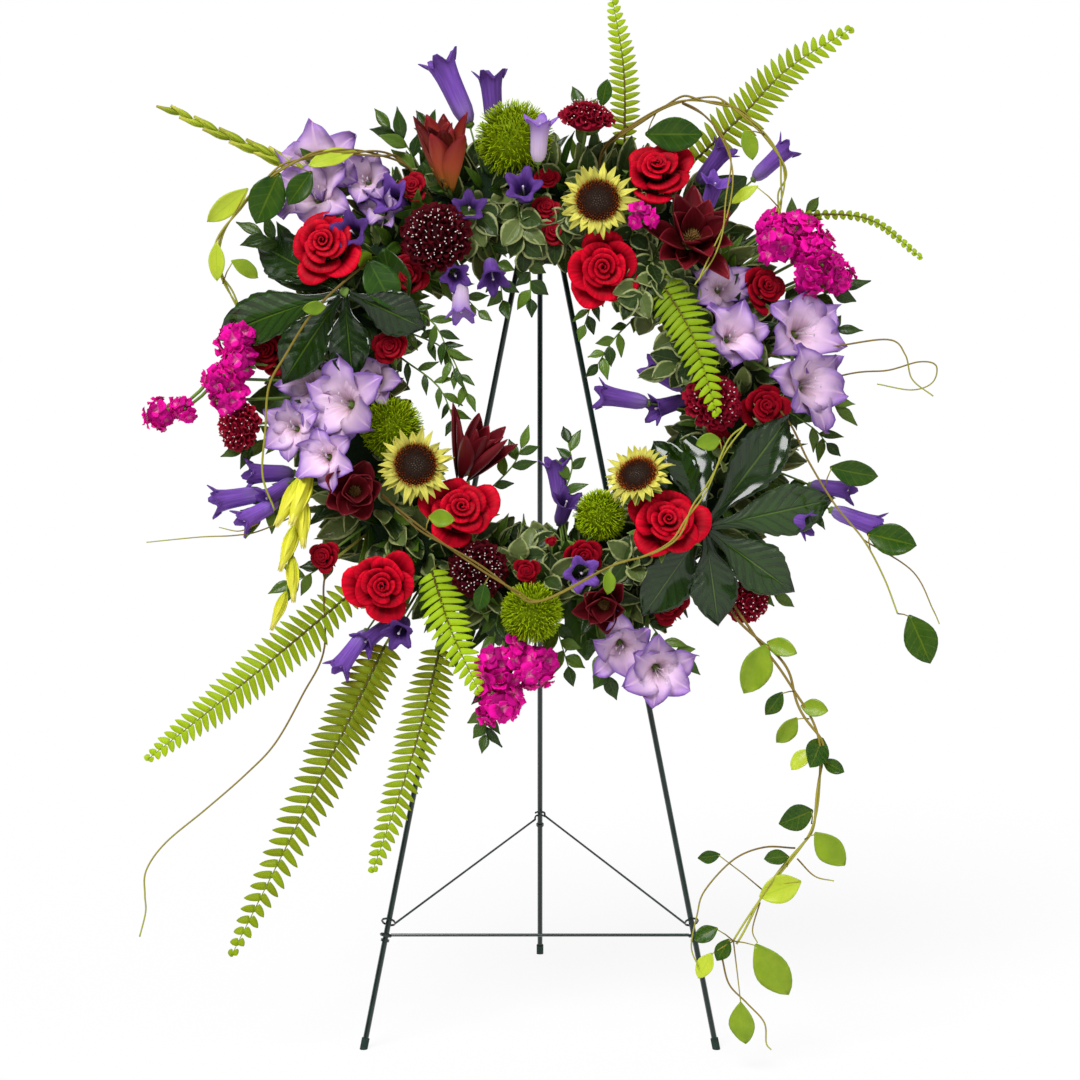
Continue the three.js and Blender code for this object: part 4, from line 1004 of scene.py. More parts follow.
# Bellflowers: clock, reach, lift, size, length, lean, towards, flare, pale.
BELLS = {
    "campanula_1": [(343, 368, 60, 23, 74, 80, 335, 1.0, False), (351, 342, 55, 20, 54, 76, 356, 1.0, False),
                    (0, 272, 116, 19, 44, 64, 3, 1.1, True)],
    "campanula_2": [(250, 369, 54, 19, 52, 78, 258, 1.0, False), (253, 326, 50, 18, 48, 74, 268, 1.0, False),
                    (245, 351, 56, 17, 46, 76, 238, 1.0, False), (247, 319, 60, 16, 42, 60, 230, 1.1, False)],
    "campanula_3": [(101, 66, 64, 18, 52, 80, 278, 1.0, False), (81, 118, 62, 17, 46, 72, 300, 1.0, False),
                    (103, 124, 62, 18, 46, 62, 250, 1.1, False)],
    None: [
        (355, 209, 92, 21, 34, 14, 350, 1.2, False), (338, 200, 92, 19, 34, 20, 20, 1.2, False),
        (321, 258, 78, 24, 38, 30, 300, 1.2, False), (308, 254, 110, 21, 36, 12, 290, 1.25, False),
        (321, 142, 92, 17, 34, 26, 160, 1.2, False), (335, 117, 90, 18, 34, 50, 170, 1.1, False),
        (310, 109, 88, 17, 38, 74, 178, 1.0, True), (209, 308, 85, 18, 36, 30, 200, 1.2, False),
        (168, 211, 105, 20, 34, 14, 140, 1.2, False), (38, 324, 62, 18, 48, 66, 40, 1.1, False),
        (41, 288, 72, 18, 40, 50, 20, 1.15, False), (46, 373, 52, 17, 50, 80, 48, 1.0, False),
        (169, 86, 62, 18, 46, 76, 352, 1.0, False), (167, 129, 74, 17, 38, 40, 20, 1.1, False),
        (215, 372, 60, 17, 50, 78, 215, 1.0, False), (214, 335, 62, 17, 44, 60, 230, 1.1, False),
        (118, 323, 62, 17, 44, 64, 110, 1.1, False), (113, 392, 50, 18, 52, 80, 112, 1.0, False),
        (109, 351, 54, 16, 44, 72, 100, 1.0, False),
    ],
}
# Ferns: the frond's route, half its width and its lightness.
FERNS = {
    "fern_frond_1": ([(-200, 487, 55), (-307, 396, 60), (-416, 309, 60)], 25, 0.45),
    "fern_frond_2": ([(-165, 431, 50), (-230, 294, 60), (-325, 103, 60)], 29, 0.0),
    "fern_frond_3": ([(-107, 428, 40), (-135, 316, 45), (-178, 190, 45)], 24, 0.2),
    "fern_frond_4": ([(122, 826, 85), (159, 756, 110), (186, 669, 115)], 24, 0.4),
    "fern_frond_5": ([(92, 974, 40), (91, 1056, 45), (78, 1139, 50)], 15, 0.45),
    "fern_frond_6": ([(169, 959, 35), (220, 1006, 45), (269, 1056, 50), (339, 1100, 55)], 25, 0.3),
}
LOOSE_FERNS = [
    ([(-114, 508, 85), (-93, 445, 100), (-63, 379, 95)], 23, 0.75),
    ([(270, 896, 50), (351, 888, 65), (408, 843, 75)], 2.5, 0.3),
]
# Aralia leaves: the clock, reach and lift of the palm, and its lobes as direction, length and sink.
ARALIAS = {
    "aralia_leaf_1": (
        (294, 226, 100),
        ((216, 115, 0), (175, 91, 0), (113, 92, 12), (314, 118, 42), (303, 140, 36), (256, 159, 0)),
    ),
    "aralia_leaf_2": (
        (132, 234, 85),
        ((171, 103, 0), (214, 112, 8), (125, 117, 0), (349, 112, 20), (332, 112, 24), (38, 152, 0), (78, 151, 0)),
    ),
}
LIME, LIGHT, DARK = 0.97, 0.62, 0.05  # tones of vine leaves
# Vines: each strand's route, radius and how many stems wind along it, and the leaves on the first one.
VINES = {
    "trailing_vine_right": (
        [([(190, 520, 55), (200, 479, 60), (225, 443, 70), (254, 407, 80), (270, 377, 85), (285, 345, 90),
           (294, 316, 90), (293, 280, 90), (284, 245, 90), (268, 214, 90), (233, 166, 90), (201, 122, 90)], 1.6, 2),
         ([(266, 218, 90), (233, 219, 95), (201, 206, 95), (171, 174, 95), (163, 149, 95), (157, 117, 95),
           (164, 96, 95)], 1.1, 1),
         ([(189, 105, 90), (196, 78, 95), (214, 59, 95), (232, 39, 95), (234, 18, 95), (239, 11, 95)], 1.1, 1),
         ([(268, 207, 90), (286, 189, 90), (306, 184, 90)], 1.0, 1),
         ([(229, 162, 90), (221, 134, 90), (226, 120, 90)], 0.9, 1)],
        [(228, 405, LIGHT, 58), (253, 428, LIGHT, 36), (246, 368, DARK, 30), (286, 364, LIGHT, 30),
         (259, 340, LIGHT, 34), (272, 311, LIME, 30), (289, 318, DARK, 42), (306, 303, DARK, 26),
         (268, 250, DARK, 42), (301, 217, LIGHT, 46), (247, 209, DARK, 28), (251, 176, LIME, 48),
         (176, 209, DARK, 24), (172, 130, DARK, 28), (190, 113, DARK, 26), (171, 97, LIME, 30),
         (240, 92, LIGHT, 64), (209, 38, LIGHT, 44)],
    ),
    "trailing_vine_side": (
        [([(240, 700, 55), (266, 666, 70), (285, 625, 75), (313, 577, 80), (342, 541, 80), (363, 501, 80),
           (377, 463, 80)], 1.3, 1),
         ([(342, 541, 80), (393, 508, 80), (414, 468, 80), (421, 452, 80)], 0.9, 1)],
        [(331, 611, DARK, 52), (370, 541, DARK, 54), (400, 436, DARK, 56)],
    ),
    "arching_vine": (
        [([(60, 930, 50), (67, 961, 60), (92, 981, 75), (140, 1009, 85), (176, 1012, 90), (206, 1004, 90),
           (239, 974, 90), (257, 942, 85), (260, 913, 80), (250, 885, 75)], 1.3, 3),
         ([(150, 1010, 87), (178, 992, 90), (194, 970, 90), (203, 932, 95), (196, 880, 110), (181, 839, 115),
           (166, 810, 115)], 1.1, 2)],
        [(143, 975, DARK, 62), (223, 962, LIGHT, 34), (218, 912, LIME, 34), (69, 1021, DARK, 30)],
    ),
    "hanging_stem_left": (
        [([(-222, 520, 54), (-230, 494, 60), (-230, 426, 50), (-252, 378, 55), (-280, 327, 60), (-311, 294, 60),
           (-352, 258, 60), (-395, 222, 60), (-415, 193, 60), (-416, 168, 60), (-415, 150, 60), (-421, 124, 60)],
          1.2, 1)],
        [],
    ),
    None: (
        [([(240, 740, 60), (311, 747, 80), (369, 753, 90), (386, 736, 95), (393, 710, 95), (415, 692, 95)], 1.1, 1),
         ([(250, 700, 60), (329, 718, 80), (369, 721, 85), (402, 730, 85), (420, 726, 85), (416, 708, 85),
           (394, 700, 85), (358, 707, 80)], 1.0, 1),
         ([(-120, 915, 50), (-144, 948, 60), (-173, 958, 70), (-210, 958, 80), (-256, 946, 90), (-289, 928, 90),
           (-322, 893, 85), (-341, 861, 80), (-343, 825, 75), (-320, 790, 60)], 1.4, 3),
         ([(-180, 840, 80), (-207, 812, 105), (-239, 778, 112), (-267, 734, 110), (-285, 701, 105),
           (-289, 655, 100), (-292, 608, 95), (-280, 572, 85)], 1.5, 1),
         ([(-240, 580, 50), (-297, 554, 50), (-326, 548, 52), (-363, 546, 55), (-419, 540, 60)], 0.9, 1),
         ([(-170, 590, 70), (-141, 565, 110), (-103, 535, 120), (-60, 505, 122), (-24, 486, 120), (5, 476, 115),
           (72, 508, 115), (107, 520, 125), (136, 537, 135), (153, 560, 135), (172, 587, 125), (194, 639, 115),
           (218, 661, 100)], 1.3, 2),
         ([(-300, 560, 60), (-320, 552, 60), (-342, 556, 60)], 0.8, 1)],
        [],
    ),
}
# More vine leaves, for these strands of the last vine.
LOOSE_LEAVES = [
    (2, [(-222, 950, LIME, 54), (-333, 897, LIME, 58), (-344, 838, LIME, 42), (-314, 832, LIGHT, 34),
         (-290, 905, DARK, 60), (-255, 915, DARK, 44)]),
    (3, [(-168, 812, DARK, 62), (-186, 838, LIGHT, 34), (-236, 782, LIGHT, 26)]),
    (5, [(-103, 560, LIGHT, 30), (-60, 478, DARK, 30), (72, 494, LIGHT, 26), (176, 640, LIGHT, 30)]),
]
# Sprigs of narrow dark leaves at the edges: route, leaf length and half width.
SPRIGS = [
    ([(-150, 800, 55), (-112, 772, 70), (-92, 726, 66)], 26, 5.0),
    ([(-150, 770, 55), (-100, 745, 64), (-78, 700, 60)], 24, 4.6),
    ([(-150, 740, 50), (-108, 706, 62), (-90, 664, 58)], 24, 4.4),
    ([(-140, 830, 55), (-95, 815, 66), (-66, 788, 66)], 26, 5.5),
    ([(-60, 880, 50), (-46, 840, 62), (-40, 800, 62)], 26, 6.5),
    ([(-25, 880, 50), (-12, 840, 62), (-10, 802, 60)], 26, 7.5),
    ([(90, 860, 45), (62, 815, 55), (48, 775, 52)], 24, 5.5),
    ([(120, 800, 50), (82, 762, 58), (62, 732, 55)], 24, 6),
    ([(-130, 920, 45), (-142, 972, 56), (-168, 1002, 58)], 36, 7.5),
    ([(-105, 930, 45), (-112, 980, 52), (-126, 1004, 52)], 30, 6.5),
    ([(-190, 900, 40), (-215, 940, 45), (-250, 962, 45)], 34, 7),
    ([(40, 950, 40), (52, 990, 46), (46, 1024, 48)], 30, 7),
    ([(230, 860, 45), (268, 880, 52), (298, 905, 54)], 30, 6.5),
    ([(240, 800, 45), (296, 806, 50), (340, 816, 52)], 32, 7.5),
    ([(245, 770, 45), (300, 768, 50), (332, 770, 50)], 30, 7),
    ([(250, 730, 40), (300, 700, 46), (330, 680, 48)], 30, 6.5),
    ([(255, 690, 40), (300, 660, 45), (318, 640, 45)], 28, 6),
    ([(240, 620, 40), (285, 590, 46), (300, 566, 46)], 28, 6),
    ([(190, 520, 40), (228, 492, 46), (262, 478, 46)], 30, 6.5),
    ([(100, 480, 40), (128, 440, 44), (150, 420, 44)], 28, 6.5),
    ([(-230, 610, 40), (-282, 588, 46), (-312, 560, 46)], 30, 6.5),
    ([(-245, 660, 40), (-300, 652, 45), (-330, 640, 46)], 28, 6),
    ([(-200, 540, 40), (-248, 505, 46), (-276, 490, 46)], 30, 6.5),
    ([(-230, 840, 40), (-285, 868, 45), (-312, 880, 48)], 34, 8),
    ([(-40, 490, 45), (-48, 440, 58), (-56, 372, 60), (-58, 336, 60)], 27, 6.5),
    ([(10, 500, 45), (18, 450, 56), (30, 408, 56)], 28, 7.5),
    ([(50, 500, 45), (62, 440, 54), (72, 398, 54)], 30, 8),
    ([(-90, 520, 45), (-100, 470, 54), (-92, 428, 54)], 28, 6),
    ([(-60, 590, 60), (-30, 620, 66), (-20, 640, 66)], 28, 6),
    ([(20, 580, 60), (34, 618, 66), (30, 646, 66)], 26, 6),
]
EDGE_X, TOP_UP, DRAWN_IN = 225, 950, 0.84  # sprigs that end beyond these are shortened to this share
# Sprigs of pittosporum: from and to which clock angle, reach and lift of their tips.
PITTOSPORUMS = {
    "pittosporum_1": (335, 395, 150, 45), "pittosporum_2": (30, 85, 150, 50),
    "pittosporum_3": (140, 205, 200, 50),
}
# Large dark leaves behind the flowers: foot, tip and half width.
BACK_LEAVES = [
    ((-195, 850, 55), (-300, 835, 50), 32), ((-150, 790, 60), (-172, 850, 85), 26),
    ((-140, 860, 45), (-205, 930, 45), 24), ((160, 560, 45), (255, 515, 50), 26),
    ((150, 880, 45), (225, 945, 45), 26), ((-40, 505, 45), (-52, 430, 50), 24),
    ((40, 500, 45), (58, 415, 52), 24), ((235, 690, 45), (315, 690, 50), 24),
    ((-235, 690, 45), (-318, 700, 45), 24),
]

# ---------------------------------------------------------------- what a user can change


class WreathBlooms(bpy.types.PropertyGroup):
    """Colours and counts of the flowers."""

    rose_red: FloatVectorProperty(
        name="Rose red", description="Colour of the large roses", default=(0.74, 0.001, 0.021),
        subtype="COLOR", size=3, min=0, max=1,
    )
    spray_red: FloatVectorProperty(
        name="Spray rose crimson", description="Colour of the small spray roses", default=(0.34, 0.001, 0.012),
        subtype="COLOR", size=3, min=0, max=1,
    )
    lime_petal: FloatVectorProperty(
        name="Sunflower lime", description="Colour of the sunflowers' rays", default=(0.66, 0.62, 0.11),
        subtype="COLOR", size=3, min=0, max=1,
    )
    burgundy: FloatVectorProperty(
        name="Scabious burgundy", description="Colour of the scabious florets", default=(0.13, 0.002, 0.01),
        subtype="COLOR", size=3, min=0, max=1,
    )
    lilac: FloatVectorProperty(
        name="Gladiolus lilac", description="Colour of the gladiolus petals", default=(0.28, 0.14, 0.47),
        subtype="COLOR", size=3, min=0, max=1,
    )
    violet: FloatVectorProperty(
        name="Bellflower violet", description="Colour of the bellflowers", default=(0.17, 0.07, 0.38),
        subtype="COLOR", size=3, min=0, max=1,
    )
    magenta: FloatVectorProperty(
        name="Stock magenta", description="Colour of the stock florets", default=(0.78, 0.004, 0.32),
        subtype="COLOR", size=3, min=0, max=1,
    )
    rose_petals: IntProperty(name="Rose petals", description="Petals of a large rose", default=18, min=12, max=60)
    spray_petals: IntProperty(name="Spray rose petals", description="Petals of a spray rose", default=17, min=8, max=40)
    bristles: IntProperty(
        name="Dianthus bristles", description="Bristles on a green dianthus ball", default=820, min=200, max=1500,
    )
    petal_thickness: FloatProperty(
        name="Petal thickness", description="Thickness of a petal", default=0.0005, min=0.0002, max=0.002,
        unit="LENGTH", subtype="DISTANCE", precision=4,
    )


class WreathGreens(bpy.types.PropertyGroup):
    """Colours and counts of the leaves."""

    fern_green: FloatVectorProperty(
        name="Fern green", description="Colour of the sword fern", default=(0.22, 0.33, 0.004),
        subtype="COLOR", size=3, min=0, max=1,
    )
    moss_green: FloatVectorProperty(
        name="Dianthus green", description="Colour of the mossy dianthus", default=(0.28, 0.4, 0.003),
        subtype="COLOR", size=3, min=0, max=1,
    )
    pinna_spacing: FloatProperty(
        name="Fern spacing", description="Distance between a frond's pinnae", default=0.0078, min=0.005, max=0.02,
        unit="LENGTH", subtype="DISTANCE", precision=4,
    )
    filler_leaves: IntProperty(
        name="Filler leaves", description="Leaves tucked in all round the foam", default=1050, min=100, max=1200,
    )
    leaf_thickness: FloatProperty(
        name="Leaf thickness", description="Thickness of a leaf", default=0.0006, min=0.0002, max=0.002,
        unit="LENGTH", subtype="DISTANCE", precision=4,
    )


class WreathEasel(bpy.types.PropertyGroup):
    """Finish of the easel."""

    enamel: FloatVectorProperty(
        name="Enamel", description="Colour of the easel's enamel", default=(0.003, 0.014, 0.01),
        subtype="COLOR", size=3, min=0, max=1,
    )
    enamel_roughness: FloatProperty(
        name="Enamel roughness", description="Roughness of the enamel", default=0.3, min=0.05, max=1, subtype="FACTOR",
    )


class WreathStage(bpy.types.PropertyGroup):
    """Light and camera."""

    surround: FloatProperty(
        name="Surround", description="Brightness of the white surround", default=1.0, min=0.1, max=2,
    )
    floor_glow: FloatProperty(
        name="Floor glow", description="Share of the floor's brightness that is its own, which keeps shadows faint",
        default=0.88, min=0, max=1, subtype="FACTOR",
    )
    ambient: FloatProperty(
        name="Ambient", description="Light that the surround gives from all sides", default=0.18, min=0, max=2,
    )
    key_light: FloatProperty(name="Key light", description="Strength of the main light", default=3.1, min=0, max=10)
    fill_light: FloatProperty(name="Fill light", description="Strength of the second light", default=0.7, min=0, max=10)
    rim_light: FloatProperty(
        name="Rim light", description="Strength of the light from behind", default=0.5, min=0, max=10,
    )
    lens: FloatProperty(
        name="Lens", description="Focal length", default=82.89, min=20, max=300, unit="CAMERA",
    )
    camera_distance: FloatProperty(
        name="Camera distance", description="From the front feet's line to the camera", default=2.6, min=1, max=10,
        unit="LENGTH", subtype="DISTANCE",
    )
    camera_height: FloatProperty(
        name="Camera height", description="Height of the camera", default=0.8, min=0.1, max=3,
        unit="LENGTH", subtype="DISTANCE",
    )
    camera_pitch: FloatProperty(
        name="Camera pitch", description="How far the camera looks down", default=math.radians(5.535),
        min=-0.5, max=1, unit="ROTATION", subtype="ANGLE",
    )


# ---------------------------------------------------------------- operators


def numbered(rows, seed):
    """Gives each row its number, random numbers of its own and a new mesh."""
    for k, row in enumerate(rows):
        yield k + 1, random.Random(seed + k), new_piece(), row


def dress(material, slot, *nodes):
    """Gives a material to CAD nodes that stay as they are."""
    for name in nodes:
        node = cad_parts[name]
        if not node.material_slots:
            node.data.materials.append(material)
        for held in node.material_slots:
            held.material = material


class WREATH_OT_easel(bpy.types.Operator):
    """Enamels the easel's wires and finishes its rivet and caps"""

    bl_idname = "wreath.easel"
    bl_label = "Easel"

    def execute(self, context):
        easel = context.scene.wreath_easel
        enamel = plain_finish(
            "Green enamel", shade(easel.enamel, 0.75), shade(easel.enamel, 1.35), easel.enamel_roughness, 90,
            0.12, 0.0003, coat=0.5,
        )
        cap = plain_finish("Moulded cap", (0.006, 0.02, 0.014), (0.014, 0.035, 0.024), 0.55, 220, 0.2)
        pin = plain_finish("Galvanised rivet", (0.3, 0.31, 0.31), (0.5, 0.5, 0.5), 0.42, 260, 0.2, metallic=1.0)
        dress(enamel, "easel_enamel", "front_leg_left", "front_leg_right", "rear_leg", "crossbar", "brace_left",
              "brace_right")
        dress(cap, "foot_cap", "foot_cap_left", "foot_cap_right", "foot_cap_rear")
        dress(pin, "pin_steel", "pivot_pin")
        return {"FINISHED"}


class WREATH_OT_foam(bpy.types.Operator):
    """Finishes the wet foam ring and the tray that holds it"""

    bl_idname = "wreath.foam"
    bl_label = "Foam ring and tray"

    def execute(self, context):
        # The foam's green is darker than wet foam. Part of it is the foam's own colour and part is painted shade for
        # the gaps between the leaves, where the foam shows.
        foam = plain_finish("Wet floral foam", (0.004, 0.014, 0.004), (0.014, 0.036, 0.012), 0.9, 900, 0.9, 0.0008)
        tray = plain_finish("Tray plastic", (0.004, 0.02, 0.01), (0.01, 0.04, 0.02), 0.42, 120, 0.15, coat=0.1)
        dress(foam, "floral_foam", "foam_ring")
        dress(tray, "tray_plastic", "foam_tray")
        return {"FINISHED"}


class WREATH_OT_roses(bpy.types.Operator):
    """Makes the six large roses, each petal by petal"""

    bl_idname = "wreath.roses"
    bl_label = "Roses"

    def execute(self, context):
        blooms = context.scene.wreath_blooms
        for k, rng, bm, (node, clock, reach, lift, size, lean, towards) in numbered(ROSES, 100):
            place = facing(clock, reach, lift, lean, towards, rng.uniform(0, 360))
            rose(bm, place, size, blooms.rose_petals, rng)
            calyx(bm, place, size, size * 0.55, rng)
            stem(bm, place @ Vector((0, 0, -size * 0.7)), 2.6)
            finish_piece(bm, f"velvet_rose_{k}", "rose_petals", ("rose", "calyx"), node, blooms.petal_thickness / MM)
        return {"FINISHED"}


class WREATH_OT_spray_roses(bpy.types.Operator):
    """Makes the small spray roses"""

    bl_idname = "wreath.spray_roses"
    bl_label = "Spray roses"

    def execute(self, context):
        blooms = context.scene.wreath_blooms
        looks = "spray_rose_petals", ("spray_rose", "calyx")
        thickness = blooms.petal_thickness / MM
        loose = new_piece()
        for k, (node, clock, reach, lift, size) in enumerate(SPRAY_ROSES):
            rng = random.Random(200 + k)
            bm = new_piece() if node else loose
            place = facing(clock, reach, lift, rng.uniform(8, 26), clock, rng.uniform(0, 360))
            rose(bm, place, size, blooms.spray_petals, rng, opening=1.0 if size > 10 else 0.7)
            calyx(bm, place, size, size * 0.55, rng)
            stem(bm, place @ Vector((0, 0, -size * 0.7)), 1.6)
            if node:
                finish_piece(bm, f"small_rose_{k + 1}", *looks, node, thickness)
        finish_piece(loose, "small_roses_loose", *looks, None, thickness)
        return {"FINISHED"}


class WREATH_OT_sunflowers(bpy.types.Operator):
    """Makes the lime sunflowers with their fuzzy discs"""

    bl_idname = "wreath.sunflowers"
    bl_label = "Sunflowers"

    def execute(self, context):
        for k, rng, bm, (node, clock, reach, lift, size, lean, towards) in numbered(SUNFLOWERS, 300):
            place = facing(clock, reach, lift, lean, towards, rng.uniform(0, 360))
            sunflower(bm, place, size, rng)
            stem(bm, place @ Vector((0, 0, -8)), 3.4, material=3)
            finish_piece(
                bm, f"lime_sunflower_{k}", "sunflower_petals",
                ("sunflower", "seed_disc", "calyx", "stem"), node, 0.5,
            )
        return {"FINISHED"}


class WREATH_OT_scabious(bpy.types.Operator):
    """Makes the ruffled pincushion flowers with their pale pins"""

    bl_idname = "wreath.scabious"
    bl_label = "Scabious"

    def execute(self, context):
        for k, rng, bm, (node, clock, reach, lift, size, lean, towards, dark) in numbered(SCABIOUS, 400):
            place = facing(clock, reach, lift, lean, towards, rng.uniform(0, 360))
            scabious(bm, place, size, rng, 120 if dark else 50)
            calyx(bm, place, size, size * 0.2, rng, 2, 8)
            stem(bm, place @ Vector((0, 0, -size * 0.25)), 1.7, material=3)
            finish_piece(
                bm, f"pincushion_{k}", "scabiosa_petals",
                ("scabiosa_dark" if dark else "scabiosa", "pin_head", "calyx", "stem"),
                node, 0.45,
            )
        return {"FINISHED"}


class WREATH_OT_leucadendrons(bpy.types.Operator):
    """Makes the leucadendrons from pointed leathery bracts"""

    bl_idname = "wreath.leucadendrons"
    bl_label = "Leucadendrons"

    def execute(self, context):
        for k, rng, bm, row in numbered(LEUCADENDRONS, 500):
            node, clock, reach, lift, size, lean, towards, spread, half, bright, bracts = row
            place = facing(clock, reach, lift, lean, towards, rng.uniform(0, 360))
            leucadendron(bm, place, size, spread, rng, bracts, half)
            stem(bm, place @ Vector((0, 0, -size * 0.2)), 2.6, material=2)
            finish_piece(
                bm, f"conebush_{k}", "leucadendron_bracts",
                ("leucadendron_bright" if bright else "leucadendron", "bract_core", "stem"),
                node, 0.8,
            )
        return {"FINISHED"}


class WREATH_OT_dianthus(bpy.types.Operator):
    """Makes the mossy green dianthus balls from curling bristles"""

    bl_idname = "wreath.dianthus"
    bl_label = "Green dianthus"

    def execute(self, context):
        for k, rng, bm, (node, clock, reach, lift, size, lean, towards) in numbered(DIANTHUS, 600):
            place = facing(clock, reach, lift, lean, towards)
            dianthus(bm, place, size, rng, context.scene.wreath_blooms.bristles)
            stem(bm, place @ Vector((0, 0, -size * 0.6)), 1.8)
            finish_piece(bm, f"moss_ball_{k}", "dianthus_heads", ("dianthus", "stem"), node, 0.6)
        return {"FINISHED"}


class WREATH_OT_gladioli(bpy.types.Operator):
    """Makes the gladiolus blossoms and the two spikes of buds"""

    bl_idname = "wreath.gladioli"
    bl_label = "Gladioli"

    def execute(self, context):
        for k, rng, bm, (node, blossoms) in numbered(GLADIOLI.items(), 700):
            stalk = []
            for clock, reach, lift, size in blossoms:
                place = facing(clock, reach, lift, rng.uniform(14, 30), clock, rng.uniform(0, 360))
                gladiolus(bm, place, size, rng, 1.0 if size > 28 else 0.75)
                stalk.append(place @ Vector((0, 0, -size * 0.7)))
            stalk.sort(key=lambda p: abs((p.xy - Vector((0, RING_UP))).length - RING_RADIUS))
            stem(bm, stalk[0], 2.8, material=1)
            for start, end in zip(stalk, stalk[1:]):
                tube(bm, smooth_path([start, start.lerp(end, 0.5) - Vector((0, 0, 6)), end], 6), 2.2, 1.8, 6, 0.5, 1)
            finish_piece(
                bm, f"sword_lily_{k}", "gladiolus_petals", ("gladiolus", "calyx", "stem", "anther"),
                node, 0.5,
            )
        bm = new_piece()
        rng = random.Random(750)
        for points, kind, count, length, radius in BUD_SPIKES:
            material = 0 if kind == "bud" else 1
            path = smooth_path(points, 4 * count)
            tube(bm, path, 3.2, 1.0, 6, 0.5, 2)
            for j in range(count):
                at = path[4 * j + 2]
                way = (path[4 * j + 3] - path[4 * j + 1]).normalized()
                side = Vector((way.y, -way.x, 0.5)) * (1 if j % 2 else -1)
                side.z = abs(side.z)
                share = j / count
                run = (way * 2.2 + side * (0.3 if material == 0 else 0.45)).normalized()
                turn = Matrix.Translation(at) @ run.to_track_quat("Z", "Y").to_matrix().to_4x4()
                bud(bm, turn, length * (1 - 0.45 * share), radius * (1 - 0.55 * share), rng, material)
        finish_piece(bm, "sword_lily_buds", "gladiolus_petals", ("bud", "yellow_bud", "stem"), None, 0.5)
        return {"FINISHED"}


class WREATH_OT_stocks(bpy.types.Operator):
    """Makes the ruffled clusters of stock florets"""

    bl_idname = "wreath.stocks"
    bl_label = "Stocks"

    def execute(self, context):
        for k, rng, bm, (node, clusters) in numbered(STOCKS.items(), 800):
            for clock, reach, lift, size in clusters:
                place = facing(clock, reach, lift, 25, clock, rng.uniform(0, 360))
                florets = next(count for least, count in FLORETS if size > least)
                for j in range(florets):
                    share = (j + 0.4) / florets
                    turn = on_dome(j * GOLDEN, 1.45 * share**0.55)
                    at = place @ turn @ Matrix.Translation((0, 0, size * rng.uniform(0.5, 1.25)))
                    at = at @ Matrix.Rotation(rng.uniform(-0.4, 0.4), 4, "X")
                    stock_floret(bm, at, min(FLORET_SIZE, size * 0.8) * rng.uniform(0.75, 1.15), rng)
                for j in range(5):
                    turn = on_dome(j * 2.0, rng.uniform(0.4, 1.5))
                    at = place @ turn @ Matrix.Translation((0, 0, size * 0.5))
                    bud(bm, at, size * 0.55, size * 0.13, rng, 1)
                ball(bm, place, size * 0.45, 0.5, 2, 1)
                behind = place @ Vector((0, 0, -size * 0.3))
                if reach > SPIKE_REACH:  # a floret far out stands on the stalk of its spike
                    spike_head = on_ring(*clusters[0][:3]) - Vector((0, 0, 6))
                    knee = behind.lerp(spike_head, 0.45) - Vector((0, 8, 4))
                    tube(bm, smooth_path([behind, knee, spike_head], 6), 1.6, 2.4, 6, 0.9, 1)
                else:
                    stem(bm, behind, 2.0, material=2)
            finish_piece(bm, f"ruffled_stock_{k}", "stock_petals", ("stock", "calyx", "stem"), node, 0.45)
        return {"FINISHED"}


class WREATH_OT_bellflowers(bpy.types.Operator):
    """Makes the bellflowers with their turned back lobes"""

    bl_idname = "wreath.bellflowers"
    bl_label = "Bellflowers"

    def execute(self, context):
        for k, rng, bm, (node, bells) in numbered(BELLS.items(), 900):
            for clock, reach, lift, size, length, lean, towards, flare, pale in bells:
                place = facing(clock, reach, lift, lean, towards, rng.uniform(0, 72))
                bell(bm, place, size, length, rng, flare, pale)
                stem(bm, place @ Vector((0, 0, -length)), 1.3, material=4)
            finish_piece(
                bm, f"bellflowers_{k}", "campanula_petals",
                ("bell", "calyx", "anther", "bell_pale", "stem"), node, 0.45,
            )
        return {"FINISHED"}


class WREATH_OT_ferns(bpy.types.Operator):
    """Makes the sword fern fronds pinna by pinna"""

    bl_idname = "wreath.ferns"
    bl_label = "Ferns"

    def execute(self, context):
        greens = context.scene.wreath_greens
        rng = random.Random(1000)
        pieces = [(f"sword_fern_{k + 1}", node, [frond]) for k, (node, frond) in enumerate(FERNS.items())]
        for name, node, fronds in (*pieces, ("sword_ferns_loose", None, LOOSE_FERNS)):
            bm = new_piece()
            for points, half, tone in fronds:
                fern(bm, points, half, rng, greens.pinna_spacing / MM, tone)
            finish_piece(bm, name, "fern_fronds", ("fern", "rachis"), node, greens.leaf_thickness / MM)
        return {"FINISHED"}


class WREATH_OT_aralias(bpy.types.Operator):
    """Makes the two glossy aralia leaves and the large dark leaves behind the flowers"""

    bl_idname = "wreath.aralias"
    bl_label = "Aralia leaves"

    def execute(self, context):
        for k, rng, bm, (node, (where, lobes)) in numbered(ARALIAS.items(), 1100):
            place = facing(*where, 8, where[0])
            aralia(bm, place, lobes, rng)
            ball(bm, place, 6, 0.5, 1, 2, (1, 1, 0.35))
            stem(bm, place @ Vector((0, 0, -1)), 2.0)
            finish_piece(
                bm, f"glossy_aralia_{k}", "aralia_leaves", ("aralia", "stem"), node,
                context.scene.wreath_greens.leaf_thickness / MM,
            )
        bm = new_piece()
        rng = random.Random(1150)
        for foot, tip, half in BACK_LEAVES:
            way = Vector(tip) - Vector(foot)
            leaf(bm, Vector(foot), way, way.length, half, rng, rng.uniform(0.2, 0.6), OVATE, (10, 14), -0.4, 0.15)
            tube(bm, [root_of(foot), Vector(foot) + way * 0.03], 1.8, 1.2, 6, 0.5, 1)
        finish_piece(bm, "large_dark_leaves", "aralia_leaves", ("ruscus", "stem"), None, 0.6)
        return {"FINISHED"}


